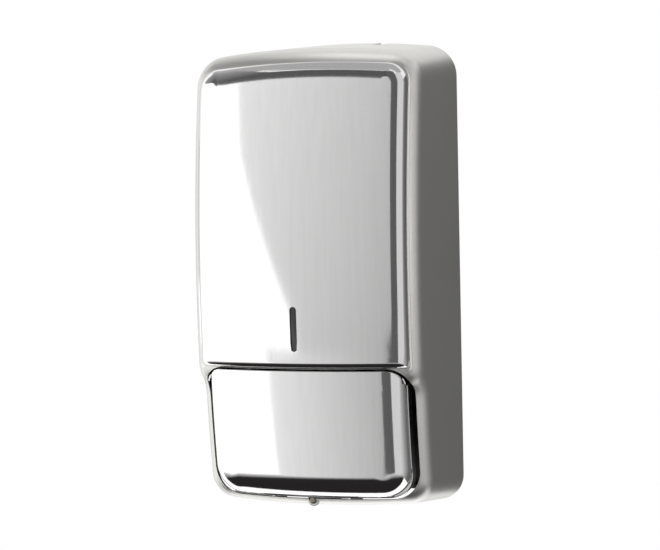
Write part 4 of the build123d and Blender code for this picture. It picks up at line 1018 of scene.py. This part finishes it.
@dataclass
class Lamp:
    """A soft area lamp aimed at the dispenser.

    Attributes:
        name: Name of the lamp.
        place: Azimuth and elevation in degrees.
        radius: Distance in metres.
        size: Width of the lamp in metres.
        watts: Power of the lamp.
        lights: Names of the only nodes that it lights, or empty for all.
    """

    name: str
    place: tuple[float, float]
    radius: float
    size: float
    watts: float
    lights: tuple[str, ...] = ()

    def build(self) -> bpy.types.Object:
        """Hang the lamp.

        Returns:
            The lamp's object.
        """
        light = bpy.data.lights.new(self.name, "AREA")
        light.energy = self.watts
        light.size = self.size
        lamp = bpy.data.objects.new(self.name, light)
        lamp.location = polar(*self.place, self.radius)
        lamp.rotation_euler = (-lamp.location).to_track_quat("-Z", "Y").to_euler()
        lamp.visible_camera = False
        bpy.context.scene.collection.objects.link(lamp)
        if self.lights:
            group = bpy.data.collections.new(self.name)
            for node in self.lights:
                group.objects.link(frame["nodes"][node])
            lamp.light_linking.receiver_collection = group
        else:
            lamp.visible_glossy = False
        log.info("hung the lamp %s", self.name)
        return lamp


@dataclass
class Studio:
    """White studio with cards that shape what the steel reflects, in metres and watts.

    Attributes:
        floor_drop: Distance of the floor below the dispenser.
        floor_size: Width of the floor.
        floor_shine: Brightness of the floor in the steel.
        fill: Brightness of the surround as a light.
        key_watts: Power of the key lamp.
        top_watts: Power of the lamp over the body.
        brow_watts: Power of the lamp on the body's top rim.
        rim_watts: Power of the lamp on the body's right rim.
        lip_watts: Power of the lamp under the body.
        softbox: Brightness of the softboxes.
        hole_x: Place of the wall screw holes across, in millimetres.
        hole_z: Place of the wall screw holes in height, in millimetres.
        hole_shade_r: Radius of a black disc behind a screw hole, which paints the shade inside the
            hole, in millimetres.
        hole_shade_gap: Distance of that disc behind the wall plane, in millimetres.
        table_r: Radius of the dark table that the plate's foot reflects.
        table_z: Height of that table.
        roof_z: Height of the grey card over the dispenser.
    """

    floor_drop: float = 0.75
    floor_size: float = 12.0
    floor_shine: float = 1.35
    fill: float = 0.75
    key_watts: float = 6.0
    top_watts: float = 2.5
    brow_watts: float = 0.75
    rim_watts: float = 1.2
    lip_watts: float = 0.12
    softbox: float = 1.35
    hole_x: float = 36.0
    hole_z: float = 75.0
    hole_shade_r: float = 3.4
    hole_shade_gap: float = 0.6
    table_r: float = 0.66
    table_z: float = -0.4
    roof_z: float = 1.35

    def build(self) -> None:
        """Make the world, the floor, the lamps and the cards."""
        self.light_world()
        self.lay_floor()
        for lamp in self.lamps():
            lamp.build()
        for card in self.cards():
            card.build()
        self.shade_screw_holes()

    def light_world(self) -> None:
        """Make a white surround, a little dimmer for what it lights."""
        world = bpy.data.worlds.new("studio")
        bpy.context.scene.world = world
        world.use_nodes = True
        tree = world.node_tree
        tree.nodes.clear()
        path = add_node(tree, "ShaderNodeLightPath")
        seen = add_node(tree, "ShaderNodeMath", operation="MAXIMUM")
        tree.links.new(path.outputs["Is Camera Ray"], seen.inputs[0])
        tree.links.new(path.outputs["Is Glossy Ray"], seen.inputs[1])
        through = add_node(tree, "ShaderNodeMath", operation="MAXIMUM")
        tree.links.new(seen.outputs["Value"], through.inputs[0])
        tree.links.new(path.outputs["Is Transmission Ray"], through.inputs[1])
        value = {"Value": through.outputs["Value"]}
        level = add_node(tree, "ShaderNodeMapRange", value, to_min=self.fill, to_max=1.0)
        back = add_node(tree, "ShaderNodeBackground", {"Strength": level.outputs["Result"]})
        back.inputs["Color"].default_value = linear("ffffff")
        add_node(tree, "ShaderNodeOutputWorld", {"Surface": back.outputs["Background"]})

    def lay_floor(self) -> None:
        """Lay a pale floor below the dispenser, white to the camera and brighter in the steel."""
        bpy.ops.object.select_all(action="DESELECT")
        low = CAD_BOX[0][2] - self.floor_drop
        bpy.ops.mesh.primitive_plane_add(size=self.floor_size, location=(0, 0, low))
        floor = bpy.context.active_object
        floor.name = "studio_floor"
        material = empty_material("pale_floor")
        tree = material.node_tree
        path = add_node(tree, "ShaderNodeLightPath")
        seen = add_node(tree, "ShaderNodeMath", operation="MAXIMUM")
        tree.links.new(path.outputs["Is Camera Ray"], seen.inputs[0])
        tree.links.new(path.outputs["Is Glossy Ray"], seen.inputs[1])
        matt = add_node(tree, "ShaderNodeBsdfDiffuse")
        matt.inputs["Color"].default_value = linear("f4f4f4")
        value = {"Value": path.outputs["Is Glossy Ray"]}
        level = add_node(tree, "ShaderNodeMapRange", value, to_min=1.0, to_max=self.floor_shine)
        white = add_node(tree, "ShaderNodeEmission", {"Strength": level.outputs["Result"]})
        mixed = add_node(tree, "ShaderNodeMixShader", {"Fac": seen.outputs["Value"]})
        tree.links.new(matt.outputs["BSDF"], mixed.inputs[1])
        tree.links.new(white.outputs["Emission"], mixed.inputs[2])
        add_node(tree, "ShaderNodeOutputMaterial", {"Surface": mixed.outputs["Shader"]})
        floor.data.materials.append(material)

    def lamps(self) -> list[Lamp]:
        """Describe the lamps: a key at the upper left and four soft lamps for the satin body alone.

        Returns:
            The lamps.
        """
        body = ("body_shell",)
        return [
            Lamp("key", (-55, 40), radius=1.4, size=0.8, watts=self.key_watts),
            Lamp("top_lamp", (0, 92), radius=1.2, size=1.3, watts=self.top_watts, lights=body),
            Lamp("brow_lamp", (3, 66), radius=1.0, size=0.5, watts=self.brow_watts, lights=body),
            Lamp("rim_lamp", (46, 13), radius=0.6, size=0.3, watts=self.rim_watts, lights=body),
            Lamp("lip_lamp", (30, -100), radius=0.36, size=0.3, watts=self.lip_watts, lights=body),
        ]

    def shade_screw_holes(self) -> None:
        """Set black discs behind the four screw holes, so that no light shines through them: they
        paint the shade inside the holes.
        """
        levels = (-self.hole_z, self.hole_z)
        for x, z in [(side * self.hole_x, level) for level in levels for side in (-1, 1)]:
            bpy.ops.object.select_all(action="DESELECT")
            bpy.ops.mesh.primitive_circle_add(
                vertices=ROUND_SIDES,
                radius=self.hole_shade_r * MM,
                fill_type="NGON",
                location=(x * MM, self.hole_shade_gap * MM, z * MM),
                rotation=(math.pi / 2, 0, 0),
            )
            hole_shade = bpy.context.active_object
            hole_shade.name = "screw_hole_shade"
            # Black plastic colour on the disc paints the shade inside the screw hole.
            hole_shade.data.materials.append(BLACK_MOULDING.material())

    def cards(self) -> list[Card]:
        """Describe the cards around the dispenser, by azimuth and elevation in degrees.

        Returns:
            The cards.
        """
        sweep = [
            (-44, 32), (-44, 22), (-40, 12), (-33, 5), (-24, -3), (-20, -7), (-18, -12),
            (21, -12), (21, 32),
        ]
        low = [(-29, -11.5), (21, -11.5), (21, -33), (-29, -33)]
        stripe = [
            (21, 58), (21, -7), (14, -13), (14, -31), (44, -31), (46, -13), (52, -7), (52, 58),
        ]
        flank = [(178, -33), (178, 26), (78, 26), (78, -7), (72, -9), (72, -33)]
        beside = [(43, -31), (92, -31), (92, 50), (51, 50), (51, -7), (45, -13)]
        rear = [(-178, -35), (-125, -35), (-125, 8), (-178, 8)]
        above = [(-52, 24), (40, 24), (40, 56), (-52, 56)]
        above_left = [(-100, 24), (-52, 24), (-52, 56), (-100, 56)]
        higher = [(-60, 56), (40, 56), (60, 86), (-80, 86)]
        turns = [math.pi * (1 + i / ROUND_SIDES) for i in range(ROUND_SIDES + 1)]
        radius = self.table_r
        table = [Vector((radius * math.cos(t), radius * math.sin(t), self.table_z)) for t in turns]
        roof = [(-1.2, -0.3), (1.2, -0.3), (1.2, 0.6), (-1.2, 0.6)]
        over = [Vector((x, y, self.roof_z)) for x, y in roof]
        spans = [(left, left + 45) for left in (-112, -67, -24)]
        boxes = [[(left, -20), (right, -20), (right, 60), (left, 60)] for left, right in spans]
        front_run = (polar(-48, 16, 1.5), polar(14, -12, 1.5))
        low_run = (polar(-34, -20, 0.72), polar(14, -20, 0.72))
        flank_run = (polar(78, 0, 0.68), polar(98, 0, 0.68))
        left_run = (polar(-52, 40, 1.5), polar(-96, 40, 1.5))
        return [
            *(
                Card(f"softbox_{i}", "ffffff", arc(3.2, box), strength=self.softbox)
                for i, box in enumerate(boxes)
            ),
            Card("grey_front", "fbfbfb", arc(1.5, sweep), fade="bcbcbc", run=front_run),
            Card("grey_low", "ffffff", arc(0.72, low), fade="bcbcbc", run=low_run),
            Card("dark_right", "606060", arc(0.7, stripe)),
            Card("soft_right", "dedede", arc(0.72, beside)),
            Card("dark_flank", "d4d4d4", arc(0.68, flank), fade="686868", run=flank_run),
            Card("grey_flank", "8c8c8c", arc(0.7, rear)),
            Card("dark_above", "565656", arc(1.5, above)),
            Card("dark_left", "565656", arc(1.5, above_left), fade="a8a8a8", run=left_run),
            Card("grey_above", "b4b4b4", arc(1.4, higher)),
            Card("grey_over", "b4b4b4", over),
            Card("dark_table", "282626", table, fade="d0d0d0", ring=(0.60, 0.72)),
        ]


@dataclass
class PhotoCamera:
    """Camera at the photograph's place, found by fitting the outline of the dispenser.

    Attributes:
        azimuth: Degrees to the right of straight in front.
        elevation: Degrees above the horizontal.
        roll: Degrees by which the picture leans.
        distance: Distance from the target in metres.
        focal_px: Focal length in pixels of the picture.
        target: Point that stands in the middle of the picture.
    """

    azimuth: float = 19.378
    elevation: float = 3.069
    roll: float = -1.226
    distance: float = 0.990734
    focal_px: float = 1892.919
    target: tuple[float, float, float] = (0.00596, -0.05479, 0.001734)

    def build(self) -> bpy.types.Object:
        """Make the camera and set it as the scene's.

        Returns:
            The camera's object.
        """
        back = polar(self.azimuth, self.elevation, 1.0)
        right = Vector((0, 0, 1)).cross(back).normalized()
        up = back.cross(right)
        lean = math.radians(self.roll)
        across = right * math.cos(lean) + up * math.sin(lean)
        upward = up * math.cos(lean) - right * math.sin(lean)
        turn = Matrix((across, upward, back)).transposed().to_4x4()
        lens = bpy.data.cameras.new("photo_camera")
        lens.sensor_fit = "HORIZONTAL"
        lens.sensor_width = SENSOR_MM
        lens.lens = self.focal_px / IMAGE_WIDTH * SENSOR_MM
        lens.clip_start = 0.01
        camera = bpy.data.objects.new("photo_camera", lens)
        camera.matrix_world = Matrix.Translation(Vector(self.target) + back * self.distance) @ turn
        bpy.context.scene.collection.objects.link(camera)
        bpy.context.scene.camera = camera
        return camera


def main() -> None:
    """Dress the dispenser and set it in the studio."""
    logging.basicConfig(level=logging.INFO, format="%(name)s: %(message)s")
    bpy.context.scene.view_settings.view_transform = "Standard"
    dispenser = Dispenser()
    dispenser.build()
    dispenser.dress()
    Studio().build()
    PhotoCamera().build()


if __name__ == "__main__":
    main()
